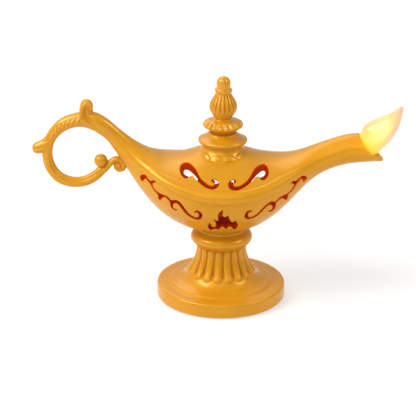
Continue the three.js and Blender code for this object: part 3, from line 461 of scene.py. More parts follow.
def plastic(name, a, b, rough=(0.38, 0.52), scale=160, grain=2400):
    n = Nodes(name)
    cloud = n.noise(scale, 3, 0.5)
    n.to("Base Color", n.ramp(cloud, [(0.3, a), (0.7, b)]))
    n.to("Roughness", n.map(cloud, *rough))
    n.to("Normal", n.bump(n.noise(grain, 2, 0.5), 0.2, 0.00003))
    n.set(IOR=1.48)
    return n.mat


def metal(name, a, b, rough=(0.22, 0.36), streak=(2500, 2500, 90)):
    n = Nodes(name)
    lines = n.noise(1.0, 3, 0.6, n.mapped(streak))
    n.to("Base Color", n.ramp(lines, [(0.3, a), (0.7, b)]))
    n.to("Roughness", n.map(lines, *rough))
    n.to("Normal", n.bump(lines, 0.12, 0.00003))
    n.set(Metallic=1.0)
    return n.mat


def flame_field(n):
    """Two fields over the flame: 0 at its glowing middle to 1 at its rim, and 0 at the spout to 1 further up."""
    def along(direction):
        d = n.add("ShaderNodeVectorMath", operation="DOT_PRODUCT")
        n.link(n.coords, d.inputs[0])
        d.inputs[1].default_value = direction
        return d.outputs["Value"]

    up, across = along((0.655, 0.0, 0.756)), along((0.756, 0.0, -0.655))
    at = n.add("ShaderNodeCombineXYZ")
    n.link(n.map(up, -1.0, 1.0, 0.0725, 0.0935), at.inputs[0])
    n.link(n.map(across, -1.0, 1.0, -0.0044, 0.0044), at.inputs[1])
    d = n.add("ShaderNodeVectorMath", operation="LENGTH")
    n.link(at.outputs[0], d.inputs[0])
    return d.outputs["Value"], n.map(up, 0.0, 1.0, 0.0768, 0.0850)


def flame_shell(name):
    """Translucent flame: soft plastic lit from within, yellow at the spout, pale in the middle and peach at the rim and tip."""
    n = Nodes(name)
    rim, up = flame_field(n)
    lit = n.ramp(rim, [(0.0, (1.0, 1.0, 0.40)), (0.42, (1.0, 0.98, 0.44)), (0.66, (1.0, 0.76, 0.30)), (0.86, (1.0, 0.62, 0.30)), (1.0, (1.0, 0.56, 0.40))])
    lit = n.mix(n.map(up, 1.0, 0.0, 0.0, 1.0), lit, (1.0, 0.84, 0.03))
    n.to("Base Color", n.ramp(rim, [(0.0, (0.20, 0.17, 0.09)), (0.7, (0.22, 0.16, 0.08)), (1.0, (0.22, 0.15, 0.11))]))
    n.to("Emission Color", lit)
    n.to("Emission Strength", n.map(n.noise(420, 2, 0.5), 0.66, 0.74))
    n.to("Roughness", n.map(n.noise(900, 2, 0.5), 0.22, 0.30))
    n.to("Normal", n.bump(n.noise(500, 1, 0.5), 0.02, 0.00003))
    n.set(IOR=1.30, Transmission_Weight=0.18, Coat_Weight=0.5, Coat_Roughness=0.12)
    return n.mat


def flame_core(name):
    """Lit wall of the flame's hollow."""
    n = Nodes(name)
    rim, up = flame_field(n)
    lit = n.ramp(rim, [(0.0, (1.0, 0.96, 0.46)), (0.5, (1.0, 0.92, 0.40)), (0.8, (1.0, 0.78, 0.30)), (1.0, (1.0, 0.66, 0.28))])
    lit = n.mix(n.map(up, 1.0, 0.0, 0.0, 1.0), lit, (1.0, 0.80, 0.03))
    n.to("Emission Color", lit)
    n.to("Emission Strength", n.map(n.noise(260, 2, 0.5), 0.72, 0.88))
    n.to("Base Color", n.ramp(rim, [(0.0, (1.0, 0.9, 0.5)), (1.0, (1.0, 0.8, 0.5))]))
    n.set(Roughness=0.6)
    return n.mat


GOLD_BODY = gold_plastic("gold_body", (26, 420, 420))
GOLD_TURNED = gold_plastic("gold_turned", (60, 60, 700), coat=0.36, gloss=0.10)
GOLD_KNOB = gold_plastic("gold_knob", (60, 60, 700), coat=0.75, gloss=0.08)
GOLD_HANDLE = gold_plastic("gold_handle", (160, 160, 160), coat=0.5, gloss=0.11)
INSIDE = red_inside("red_inside")
RED = plastic("red_plastic", (0.40, 0.050, 0.008), (0.50, 0.070, 0.012))
WHITE = plastic("white_plastic", (0.78, 0.76, 0.70), (0.86, 0.84, 0.79))
BLACK = plastic("black_plastic", (0.012, 0.012, 0.013), (0.024, 0.024, 0.026))
STEEL = metal("steel", (0.50, 0.51, 0.53), (0.66, 0.67, 0.69))
NICKEL = metal("nickel", (0.56, 0.53, 0.47), (0.70, 0.66, 0.58), (0.18, 0.30))
WIRE_RED = plastic("wire_red", (0.40, 0.014, 0.010), (0.50, 0.022, 0.014), (0.32, 0.42))
WIRE_BLACK = plastic("wire_black", (0.010, 0.010, 0.011), (0.020, 0.020, 0.022), (0.32, 0.42))
FLAME = flame_shell("flame_shell")
CORE = flame_core("flame_core")
LENS = plastic("led_lens", (0.98, 0.88, 0.52), (1.0, 0.94, 0.66), (0.10, 0.18))

# ---------------------------------------------------------------- bowl: the same stations as the CAD body
U = [-37, -35, -33, -30.5, -27, -23.5, -20, -16, -12, -6, 0, 6, 12, 16, 20, 24, 28, 32, 36, 40, 44, 48, 52]
CREST_X = [-35, -33, -31, -28.8, -26, -23, -20, -16, -12, -6, 0, 6, 12, 16, 20, 24, 28, 32, 36, 40, 42.8, 44.9, 46.7]
CREST_Z = [60.9, 59.2, 57.7, 56.22, 54.48, 53.2, 52.12, 51.9, 53.1, 55.6, 54.7, 55.6, 53.3, 52.45, 52.2, 52.73, 54.28, 56.32, 58, 59.48, 60.3, 60.75, 60.85]
KEEL_X = [-38.2, -36.2, -34.2, -31.6, -28, -24, -20, -16, -12, -6, 0, 6, 12, 16, 20, 24, 28, 32, 36, 40, 44.5, 49.2, 56.2]
KEEL_Z = [54.6, 51.6, 48.6, 44.3, 39, 34.2, 30.8, 28.35, 26.65, 25.3, 24.9, 25.4, 27.4, 29.7, 32.72, 36.52, 41, 44.9, 47.45, 49.1, 50.25, 50.8, 51.3]
HALF_W = [2.9, 3.5, 4.5, 6.5, 9.0, 12.2, 15.0, 17.3, 19.1, 20.6, 21.0, 20.6, 19.1, 17.3, 14.8, 11.9, 9.1, 7.1, 6.1, 5.6, 5.45, 5.4, 5.4]
BAND_AT = [0.4921, 0.5132, 0.5379, 0.6002, 0.7181, 0.7759, 0.807, 0.7814, 0.716, 0.6304, 0.637, 0.6221, 0.6759, 0.7101, 0.7482, 0.7639, 0.7077, 0.5865, 0.5071, 0.4961, 0.5, 0.5, 0.5052]
ROUND_A = [2, 2, 2, 2, 2, 2.03, 2.08, 2.1, 1.9, 1.6, 1.9, 1.6, 1.9, 2.1, 2.08, 2.02, 2, 2, 2, 2, 2, 2, 2]
ROUND_B = [0.5, 0.5, 0.52, 0.56, 0.62, 0.67, 0.7, 0.72, 0.73, 0.73, 0.73, 0.73, 0.73, 0.72, 0.7, 0.65, 0.59, 0.53, 0.5, 0.5, 0.5, 0.5, 0.5]
BAND_H, BAND_OUT, LIP_SCOOP = 2.3, 0.85, 0.9
BAND_FADE = [0, 0.12, 0.35, 0.62, 0.9, 1, 1, 1, 1, 1, 1, 1, 0.92, 0.82, 0.62, 0.42, 0.22, 0.06, 0, 0, 0, 0, 0]


def dense(ys, sigma=1.3):
    """The station curve, relaxed so that its curvature runs on smoothly."""
    x = np.arange(U[0], U[-1] + 1e-6, 0.25)
    y = monotone(U, ys)(x)
    k = np.arange(-24, 25) * 0.25
    w = np.exp(-0.5 * (k / sigma) ** 2)
    pad = np.concatenate([2 * y[0] - y[24:0:-1], y, 2 * y[-1] - y[-2:-26:-1]])
    y = np.convolve(pad, w / w.sum(), "valid")
    return lambda u: np.interp(u, x, y)


crest_x, crest_z, keel_x, keel_z, half_w, band_at, round_a, round_b, band_fade = map(
    dense, (CREST_X, CREST_Z, KEEL_X, KEEL_Z, HALF_W, BAND_AT, ROUND_A, ROUND_B, BAND_FADE))
wall_at = monotone([-37, 34, 42, 52], [2.4, 2.4, 1.7, 1.2])
BAND_T = np.array([0.985, 0.965, 0.94, 0.91, 0.87, 0.82, 0.74, 0.62, 0.46, 0.28, 0.1, -0.1, -0.28, -0.46, -0.6, -0.7, -0.79, -0.86, -0.92, -0.97])
BAND_P = np.where(BAND_T > 0, step(1.0, 0.86, BAND_T), step(-1.0, -0.72, BAND_T)) * (0.9 + 0.1 * np.cos(BAND_T * 1.5))


def chord(u):
    cx, cz = crest_x(u) - keel_x(u), crest_z(u) - keel_z(u)
    l = math.hypot(cx, cz)
    return cx / l, cz / l, l


def band_half(u):
    _, _, l = chord(u)
    f = float(band_at(u))
    return min(BAND_H, 0.45 * l * (1 - f), 0.45 * l * f)


def section(u, wall=0.0, push=0.0, band=1.0, n_up=44, n_low=38):
    """Closed ring of the bowl at station u: from the crest down the front to the keel, and up the back."""
    ex, ez, l = chord(u)
    f = float(band_at(u))
    ht, hb, w = l * (1 - f) - wall, l * f - wall, float(half_w(u)) - wall
    ox, oz = float(keel_x(u)) + ex * l * f + push * ez, float(keel_z(u)) + ez * l * f - push * ex
    a, b = float(round_a(u)), float(round_b(u))
    bh = min(BAND_H, 0.45 * ht, 0.45 * hb)
    s = (1 - (bh / ht) ** (1 / b)) ** (1 / a) * np.sin(np.pi / 2 * np.linspace(0, 1, n_up + 1))
    y, h = [w * s], [ht * (1 - s**a) ** b]
    t = BAND_T * bh
    up = (1 - (np.maximum(t, 0) / ht) ** (1 / b)) ** (1 / a)
    low = np.sqrt(1 - (np.minimum(t, 0) / hb) ** 2)
    y.append(w * np.where(t >= 0, up, low) + BAND_OUT * float(band_fade(u)) * band * BAND_P)
    h.append(t)
    s = math.sqrt(1 - (bh / hb) ** 2) * np.cos(np.pi / 2 * np.linspace(0, 1, n_low + 1))
    y.append(w * s)
    h.append(-hb * np.sqrt(1 - s * s))
    y, h = np.concatenate(y), np.concatenate(h)
    y[-1] = 0.0
    pull = LIP_SCOOP * (max(u - 44, 0) / 8) ** 2 * (y / w) ** 2
    front = np.stack([ox + ex * h - pull * ez, -y, oz + ez * h + pull * ex], 1)
    back = front[-2:0:-1] * (1, -1, 1)
    return np.concatenate([front, back])


outer_u = np.concatenate([np.linspace(-37, -27, 26), np.linspace(-26.55, 44, 158), np.linspace(44.45, 52, 18)])
outer_rings = [section(u) for u in outer_u] + [section(52, w, p) for w, p in ((0.05, 0.24), (0.2, 0.42), (0.42, 0.5))]
outer = make("body_outer", *loft(outer_rings))
OUTER_BVH = BVHTree.FromPolygons([v.co[:] for v in outer.data.vertices], [p.vertices[:] for p in outer.data.polygons])

inner_rings = [section(u, float(wall_at(u)), 0, 0, 20, 20) for u in np.linspace(-29, 51.7, 64)]
inner_rings += [section(52, w, p, 0, 20, 20) for w, p in ((1.2, -0.05), (1.1, 0.25), (0.9, 0.44), (0.62, 0.52), (0.62, 3.0))]
for r in inner_rings:
    r[:, 2] = np.maximum(r[:, 2], 28.9)
inner = make("body_inner", *loft(inner_rings))
dome = duplicate(outer, "dome")
boolean(outer, [inner])

# Seam over the band: the upper shell sits inside it.
crease = []
for u in np.linspace(-28.4, 27.8, 90):
    ex, ez, l = chord(u)
    f, b = float(band_at(u)), band_half(u) + 0.02
    crease.append((float(keel_x(u)) + ex * (l * f + b), float(keel_z(u)) + ez * (l * f + b)))
crease = [(-33.6, 66.0), (-30.4, crease[0][1] + 0.65)] + crease + [(30.2, crease[-1][1] + 0.9), (33.4, 66.0)]


def above(drop_by):
    p = [(x, z - drop_by) for x, z in crease]
    p[0] = (p[0][0] - drop_by, p[0][1])
    p[-1] = (p[-1][0] + drop_by, p[-1][1])
    rings = [np.array([(x, y, z) for x, z in p]) for y in (-30.0, 30.0)]
    return make("tool", *loft(rings))


def depth_at(x, v, axis_x, axis_v, axis_o, far=70.0):
    o = Vector(axis_x * x + axis_v * v + axis_o * far)
    hit = OUTER_BVH.ray_cast(o, Vector(-axis_o))
    return None if hit[0] is None else far - hit[3]


def cutter(points, tilt, deep, top, side=1, mirror=False, chamfer=0.17, gap=0.16):
    """Cutter for a pierced ornament: outline in a plane tipped back by tilt degrees, with a chamfer that follows the bowl's skin.
    side 1 cuts from the front and -1 from the back of that plane; mirror turns it over to the other side of the bowl."""
    g = math.radians(tilt)
    ax, av = np.array([1.0, 0, 0]), np.array([0, math.sin(g), math.cos(g)])
    ao = np.array([0, -math.cos(g), math.sin(g)]) * side
    p = outline(points, gap)
    t = np.roll(p, -1, 0) - np.roll(p, 1, 0)
    t /= np.linalg.norm(t, axis=1)[:, None]
    off = p + np.stack([t[:, 1], -t[:, 0]], 1) * chamfer
    ds, do = [], []
    for q, o in zip(p, off):
        d0 = depth_at(q[0], q[1], ax, av, ao)
        d1 = depth_at(o[0], o[1], ax, av, ao)
        ds.append(d0)
        do.append(d1)
    ok = [d for d in ds + do if d is not None]
    low = min(ok)
    ds = np.array([low if d is None else d for d in ds])
    do = np.array([low if d is None else d for d in do])

    def at(q, d):
        return q[:, :1] * ax + q[:, 1:] * av + np.asarray(d, float).reshape(-1, 1) * ao

    n = len(p)
    rings = [at(p, np.full(n, deep)), at(p, ds - chamfer), at(off, do), at(off, np.full(n, top))]
    if mirror:
        rings = [r * (1, -1, 1) for r in rings]
    return make("tool", *loft(rings))


upper = duplicate(outer, "body_upper")
boolean(upper, [above(0.0)], "INTERSECT")
lower = outer
lower.name = "body_lower"
boolean(lower, [above(0.03)])

scroll_tools = [cutter([(x, v - 0.8 * m) for x, v in o], 30, 24, 62, mirror=m) for m in (False, True) for o in (SCROLL_L, SCROLL_R)]
boolean(upper, [rod(6.0, 45, 64, 96)])
boolean(upper, scroll_tools, keep=True)
boolean(lower, scroll_tools)
boolean(lower, [rod(12.5, 12, 25.8, 128)])
seat = lathe("tool", profile([(0, 25.8, 1), (8.2, 25.8, 1), (8.45, 25.95), (8.6, 26.3), (8.9, 26.8), (9.4, 27.3, 1), (0, 28.4, 1)], 0.15), 128)
boolean(lower, [seat], "UNION")
boolean(lower, [rod(6.4, 20, 33, 96)])
boolean(lower, [cutter(VINE_L, 8, 9, 60), cutter(VINE_R, 8, 9, 60), cutter(FLAME_C, 8, 12, 60)])
boolean(lower, [cutter(VINE_L_OUTER, 8, 9, 60, mirror=True), cutter(VINE_R_OUTER, 8, 9, 60, mirror=True)])
boolean(lower, [cutter(o, 21.5, -3.0, 60, side=-1) for o in LEAVES])


def skin_index(ob, limit=0.24):
    """0 on the outer skin with its chamfers, 1 inside."""
    out = []
    for c in centres(ob.data):
        d = OUTER_BVH.find_nearest(Vector(c))[3]
        r = math.hypot(c[0], c[1])
        out.append(0 if d < limit or c[0] > 45.5 or (r > 7.6 and r < 9.9 and c[2] > 52.4) or c[2] < 26.4 else 1)
    return out

# ---------------------------------------------------------------- handle
def tube(path, radius, sides=20):
    """Round tube along points in space, with rounded ends. radius follows the path."""
    p = np.asarray(path, float)
    r = np.asarray(radius, float)
    t = np.gradient(p, axis=0)
    t /= np.linalg.norm(t, axis=1)[:, None]
    a = np.linspace(0, 2 * np.pi, sides, endpoint=False)
    n = np.cross(t[0], (0, 1, 0) if abs(t[0][1]) < 0.8 else (1, 0, 0))
    frames = []
    for k in range(len(p)):
        n = n - t[k] * np.dot(n, t[k])
        n /= np.linalg.norm(n)
        frames.append((n, np.cross(t[k], n)))

    def ring(k, rad, shift):
        u, v = frames[k]
        return p[k] + t[k] * shift + rad * (np.cos(a)[:, None] * u + np.sin(a)[:, None] * v)

    ball = [math.radians(d) for d in (84, 66, 46, 24)]
    rings = [ring(0, r[0] * math.cos(d), -r[0] * math.sin(d)) for d in ball]
    rings += [ring(k, r[k], 0) for k in range(len(p))]
    rings += [ring(len(p) - 1, r[-1] * math.cos(d), r[-1] * math.sin(d)) for d in ball[::-1]]
    return loft(rings)


def bowl_end(u, a):
    """Points of the bowl's oval end at station u, at angles a from the keel."""
    ex, ez, l = chord(u)
    f, w = float(band_at(u)), float(half_w(u))
    h = l * f - np.cos(a) * np.where(np.cos(a) > 0, l * f, l * (1 - f))
    return np.stack([float(keel_x(u)) + ex * h, w * np.sin(a), float(keel_z(u)) + ez * h], 1)


def limb(points, depth=0.88, sides=44, rooted=0.0):
    """Tube in the XZ plane through (x, z, radius), with rounded ends. The first `rooted` mm run on from the bowl's end."""
    c = resample(spline(points, per=12), 0.3)
    t = np.gradient(c[:, :2], axis=0)
    t /= np.linalg.norm(t, axis=1)[:, None]
    a = np.linspace(0, 2 * np.pi, sides, endpoint=False)

    def ring(k, rad, shift):
        x, z = c[k, :2] + t[k] * shift
        return np.stack([x - t[k, 1] * rad * np.cos(a), depth * rad * np.sin(a), z + t[k, 0] * rad * np.cos(a)], 1)

    ball = [math.radians(d) for d in (84, 66, 46, 24)]
    rings = [ring(0, c[0, 2] * math.cos(d), -c[0, 2] * math.sin(d)) for d in ball]
    mid = [ring(k, c[k, 2], 0) for k in range(len(c))]
    if rooted:
        seat, flow = bowl_end(-37, a), bowl_end(-37, a) - bowl_end(-36.2, a)
        flow /= np.linalg.norm(flow.mean(0))
        heart = seat.mean(0)[[0, 2]]
        first = int(np.argmin(np.hypot(*(c[:, :2] - heart).T)))
        for k in range(len(c)):
            s = (k - first) * 0.3
            w = float(step(0.2, rooted, s))
            mid[k] = (1 - w) * (seat + flow * min(s, rooted)) + w * mid[k]
        rings = []
    rings += mid
    rings += [ring(len(c) - 1, c[-1, 2] * math.cos(d), c[-1, 2] * math.sin(d)) for d in ball[::-1]]
    return loft(rings)


def ball(r, at, squash=1.0):
    th = np.linspace(0, np.pi, 19)
    prof = np.stack([r * np.sin(th), -r * np.cos(th)], 1)
    prof[0, 0] = prof[-1, 0] = 0.0
    ob = lathe("tool", prof, 40)
    co = np.array([v.co for v in ob.data.vertices]) * (1, squash, 1) + at
    faces = [list(p.vertices) for p in ob.data.polygons]
    drop(ob)
    return co, faces


def together(name, parts):
    """One mesh out of several closed skins."""
    verts, faces, k = [], [], 0
    for v, f in parts:
        v = np.asarray(v, float)
        a, n = 0.0, len(v)
        for q in f:
            for i in range(1, len(q) - 1):
                a += float(np.dot(v[q[0]], np.cross(v[q[i]], v[q[i + 1]])))
        faces += [[k + i for i in (q if a > 0 else q[::-1])] for q in f]
        verts.append(v)
        k += n
    me = bpy.data.meshes.new(name)
    me.from_pydata(np.concatenate(verts).tolist(), [], faces)
    me.update()
    ob = bpy.data.objects.new(name, me)
    SCENE.collection.objects.link(ob)
    return ob


def fuse(ob, voxel, rounds):
    """Melts overlapping skins into one and softens the joins."""
    m = ob.modifiers.new("fuse", "REMESH")
    m.mode, m.voxel_size = "VOXEL", voxel
    s = ob.modifiers.new("soften", "SMOOTH")
    s.factor, s.iterations = 0.5, rounds
    return bake(ob)


RING = [(-35.6, 57.3, 3.56), (-36.6, 57.8, 3.5), (-38.35, 59.6, 3.15), (-40.47, 61.65, 3.1), (-42.7, 63.35, 3.17), (-44.95, 64.55, 3.2), (-47.8, 65.1, 2.93), (-51.0, 64.9, 2.6),
        (-55.16, 63.4, 2.38), (-58.1, 60.97, 2.09), (-60.37, 57.62, 1.9), (-61.4, 52.96, 1.83), (-60.55, 47.9, 1.93), (-57.84, 44.0, 1.97), (-54.93, 42.4, 1.96),
        (-51.4, 41.88, 1.88), (-48.0, 42.45, 1.88), (-44.85, 44.2, 1.82), (-42.35, 46.55, 1.7)]
CURL = [(-42.0, 46.25, 1.25), (-40.57, 47.75, 1.22), (-39.2, 49.36, 1.17), (-37.7, 50.55, 1.08), (-36.16, 50.5, 1.02), (-35.01, 49.5, 0.98), (-34.56, 48.2, 0.93), (-35.11, 46.95, 0.88),
        (-36.39, 46.65, 0.82), (-37.38, 47.3, 0.76), (-37.5, 48.3, 0.68), (-36.9, 48.9, 0.6)]
ring_c = resample(spline(RING, per=14), 0.25)
parts = [
    limb(RING, 0.87, rooted=6.5),
    limb(CURL, 1.25),
    limb([(-46.2, 43.6, 1.25), (-43.9, 45.5, 1.2), (-42.1, 47.1, 1.15), (-41.4, 48.8, 1.15)]),
    ball(2.36, (-42.72, 0, 50.08)),
    ball(0.92, (-36.25, 0, 48.35), 1.75),
    limb([(-45.9, 64.3, 2.4), (-47.2, 66.6, 2.4), (-47.55, 68.8, 2.4), (-47.42, 70.3, 2.25)], 0.9),
    limb([(-60.4, 57.6, 1.95), (-61.6, 56.25, 2.05), (-63.1, 55.15, 2.12), (-64.6, 54.45, 2.16)], 0.9),
]


def on_ring(s, side, out, lift):
    """Point on the front (-1) or back (1) of the loop: s mm along it, out shares of its radius outwards."""
    k = min(int(s / 0.25), len(ring_c) - 2)
    (x, z, r), t = ring_c[k], ring_c[k + 1, :2] - ring_c[k, :2]
    t = t / np.linalg.norm(t)
    o = out * r
    return np.array([x + t[1] * o, side * (0.87 * r * math.sqrt(max(1 - out * out, 0)) + lift), z - t[0] * o])


def arc_at(x, z):
    return float(np.argmin(np.hypot(ring_c[:, 0] - x, ring_c[:, 1] - z))) * 0.25


def cord(points, radii, gap=0.2, sides=14):
    """Tube along points, with its radius spread evenly over them."""
    c = resample(spline(points), gap)
    return tube(c, np.interp(np.linspace(0, 1, len(c)), np.linspace(0, 1, len(radii)), radii), sides)


def round_at(x, z, r, start, end, y):
    """Arc round (x, z) in the XZ plane, from start to end degrees."""
    return [(x + r * math.cos(math.radians(d)), y, z + r * math.sin(math.radians(d))) for d in np.linspace(start, end, 9)]


# A row of leaf lobes over the top left of the loop, and the hooked rim of the top bud.
first, last = arc_at(-50.9, 64.9), arc_at(-59.7, 58.9)
for side in (-1, 1):
    for i, s in enumerate(np.linspace(first + 0.9, last, 7)):
        size = 1 - 0.05 * i
        q = [on_ring(s + 0.2, side, -0.34, -0.12), on_ring(s - 0.5 * size, side, -0.14, 0.10), on_ring(s - 1.2 * size, side, 0.10, 0.16), on_ring(s - 2.1 * size, side, 0.34, -0.06)]
        parts.append(cord(q, [0.26 * size, 0.50 * size, 0.46 * size, 0.20 * size]))
    q = [on_ring(s, side, -0.05, -0.12) for s in np.linspace(first - 1.0, last - 0.5, 9)]
    parts.append(cord(q, [0.25, 0.4, 0.4, 0.36, 0.2]))
    q = [(-49.5, side * 2.05, 65.4), (-49.35, side * 2.05, 66.8), (-49.25, side * 1.8, 68.3), (-48.8, side * 1.72, 70.0), (-47.7, side * 1.78, 71.2), (-46.5, side * 1.6, 70.85), (-45.95, side * 1.35, 69.75)]
    parts.append(cord(q, [0.30, 0.58, 0.66, 0.68, 0.68, 0.78, 0.90]))

handle = fuse(together("loop_handle", parts), 0.15, 4)
tools = []
s0, s1 = arc_at(-61.2, 55.2), arc_at(-43.6, 45.4)
for side in (-1, 1):
    cuts = [
        # hollow of the top bud, running out on to the neck
        ([(-47.1, side * 2.25, 70.0), (-47.35, side * 2.2, 68.5), (-47.2, side * 2.45, 66.7), (-46.0, side * 2.85, 65.1), (-44.3, side * 3.1, 63.8), (-42.4, side * 3.2, 62.5)], [0.82, 1.08, 1.15, 0.95, 0.66, 0.45]),
        # crevice beside it
        ([(-46.5, side * 2.2, 67.1), (-45.6, side * 1.8, 67.8), (-44.6, side * 1.2, 68.6)], [0.55, 0.7, 0.6]),
        # edge of the blade down the neck
        ([(-43.0, side * 3.62, 62.9), (-41.0, side * 3.55, 61.2), (-39.3, side * 3.5, 59.5), (-38.0, side * 3.55, 57.9)], [0.95, 0.98, 0.9, 0.6]),
        # notch and crease of the left bud
        ([(-65.7, side * 1.66, 54.25), (-64.7, side * 1.94, 54.65), (-63.5, side * 1.86, 55.05), (-62.6, side * 1.9, 55.45)], [0.2, 0.32, 0.32, 0.16]),
        ([(-63.3, side * 1.25, 56.9), (-62.2, side * 1.62, 57.25), (-61.0, side * 1.85, 57.8), (-60.2, side * 1.82, 58.4)], [0.15, 0.28, 0.3, 0.15]),
        # crease between the loop's two strands
        ([on_ring(s, side, -0.5, 0.10) for s in np.linspace(s0, s1, 40)], [0.10, 0.38, 0.44, 0.44, 0.44, 0.44, 0.40]),
        # creases round the ball and in the curl
        (round_at(-42.72, 50.08, 2.28, -128, 22, side * 1.05), [0.15, 0.34, 0.36, 0.34, 0.2]),
        (round_at(-36.25, 48.4, 1.12, 178, -168, side * 1.42), [0.14, 0.24, 0.26, 0.26, 0.24, 0.14]),
    ]
    tools += [make("tool", *cord(q, radii, 0.2, 18)) for q, radii in cuts]
boolean(handle, tools)
handle = fuse(handle, 0.15, 2)

# Seam with the bowl, and the peg that holds the handle in it.
E = np.array([crest_x(-37) - keel_x(-37), crest_z(-37) - keel_z(-37)], float)
E /= np.linalg.norm(E)
MID = np.array([crest_x(-37) + keel_x(-37), crest_z(-37) + keel_z(-37)], float) / 2


def slab(x0, x1, half, name="tool"):
    """Block along the seam: x0 to x1 towards the bowl, half its height."""
    ob = box(x0, x1, -8, 8, -half, half, name)
    m = Matrix(((E[1], 0, E[0], MID[0]), (0, 1, 0, 0), (-E[0], 0, E[1], MID[1]), (0, 0, 0, 1)))
    ob.data.transform(m)
    return ob


def peg(r, z0, z1):
    ob = rod(r, z0, z1, 32)
    d = Vector((-4.5, 0, 4.5)).normalized()
    m = Matrix.Translation((-33.5, 0, 54.6)) @ d.to_track_quat("Z", "Y").to_matrix().to_4x4()
    ob.data.transform(m)
    return ob


skin = make("tool", *loft([section(u, -0.01, 0, 0, 30, 30) for u in np.linspace(-36.95, -24, 40)]))
boolean(handle, [slab(-0.006, 7.0, 4.4), skin])
boolean(handle, [peg(1.5, 0.3, 6.6)], "UNION")
boolean(lower, [peg(1.7, 0.0, 8.0)])

# ---------------------------------------------------------------- foot, stem and collar
def phase(theta, count, shift=0.0):
    return ((theta - FRONT) * count / (2 * np.pi) + shift) % 1.0


def flutes(theta, r, z):
    """Eighteen raised tongues with round tips, parted by grooves that run out on the foot."""
    q = np.abs(2 * phase(theta, 18, -0.17) - 1)
    drop = np.clip((9.9 - z) / 1.45, 0, None)
    tongue = np.sqrt(np.clip(1 - (q / 0.86) ** 2 - drop**2, 0, 1))
    deep = np.interp(z, [7.5, 9.5, 12, 19.0], [1.25, 1.2, 1.05, 0.8]) * step(8.5, 10.4, z)
    proud = np.interp(z, [8.2, 9.3, 11.5, 14.5], [0.6, 0.55, 0.25, 0.0])
    return r + (proud * tongue - deep * (1 - tongue)) * (r > 8.6) * (z < 18.99), z


foot_out = profile([(20.6, 0, 1), (22.35, 0, 1), (22.72, 0.12), (22.9, 0.5, 1), (22.9, 3.9, 1), (22.86, 4.35), (22.68, 4.74), (22.3, 4.98), (21.6, 5.06), (20.2, 5.1), (18.95, 5.16, 1),
                    (18.45, 5.24), (18.15, 5.42), (17.85, 5.66), (17.2, 5.86), (16, 6.06), (14.3, 6.65), (12.45, 8.1), (10.95, 10.6), (9.7, 13.6), (8.95, 16.5), (8.7, 19.0, 1)], 0.19)
thread = [[5.9 + 0.2 * (k % 2), 25.8 + 0.3 * k] for k in range(20)]
foot_in = np.array([[6.9, 19.0], [6.9, 25.5], [6.1, 25.5]] + thread + [[5.9, 32.0], [5.7, 32.2], [4.6, 32.2], [4.6, 19], [6.9, 13], [8.2, 10], [10.6, 7], [14.5, 5.0], [15.6, 4.7], [15.6, 1.6], [20.6, 1.6]], float)
pedestal = lathe("foot_and_stem", np.concatenate([foot_out, foot_in]), 504, flutes, True)
SPOTS = [(17.4 * math.cos(math.radians(a)), 17.4 * math.sin(math.radians(a))) for a in (0, 120, 240)]
boolean(pedestal, [rod(8.5, 1, 4.2, 64, (-10.4, 0))] + [rod(1.2, 1, 4.6, 24, s) for s in SPOTS])

collar = lathe("bead_collar", profile([(7.2, 19.05, 1), (8.7, 19.05, 1), (9.0, 19.3), (9.35, 19.72), (10.22, 20.45), (10.8, 21.25), (11.0, 22.0), (10.9, 22.72), (10.58, 23.34), (10.05, 23.9), (9.5, 24.2, 1),
                                       (9.25, 24.36), (8.85, 24.62), (8.5, 25.0), (8.42, 25.4), (8.5, 25.794, 1), (7.2, 25.794, 1)], 0.14, True), 192, None, True)

# ---------------------------------------------------------------- neck, lid and finial
def scallops(theta, r, z):
    """Twelve raised petals round the neck, with a valley at the front."""
    p = (2 * phase(theta, 12, -0.03) - 1) / 0.97
    arch = np.sqrt(np.clip(1 - p**2, 0, 1))
    top = 53.5 + 1.6 * arch
    on = 0.5 * step(top + 0.16, top - 0.2, z) * (0.35 + 0.65 * arch) * step(53.34, 53.58, z) * (r > 6.5) * (z < 57.2)
    return r + on, z


neck = lathe("scalloped_neck", profile([(6.3, 51.3, 1), (9.75, 51.3, 1), (9.8, 52.75), (9.74, 53.1), (9.58, 53.32), (9.32, 53.44, 1), (9.16, 53.56), (8.66, 54.15), (7.96, 55.0), (7.46, 55.85),
                                     (7.18, 56.75), (7.12, 57.3), (7.0, 57.5, 1), (6.3, 57.5, 1)], 0.085, True), 420, scallops, True)
boolean(neck, [dome])

lid = lathe("lid_disc", profile([(1.3, 58.3, 1), (4.2, 58.3, 1), (4.2, 52.8), (4.4, 52.6, 1), (5.4, 52.6), (5.6, 52.8, 1), (5.6, 57.56, 1), (8.0, 57.56, 1), (8.35, 57.7), (8.58, 58.0), (8.65, 58.35), (8.55, 58.65),
                            (8.3, 58.88), (7.9, 59.06, 1), (7.5, 59.26), (6.9, 59.55), (6.3, 59.92), (5.75, 60.3), (5.35, 60.66), (5.05, 60.98), (4.75, 61.2), (4.4, 61.3, 1), (1.3, 61.3, 1)], 0.12, True), 192, None, True)


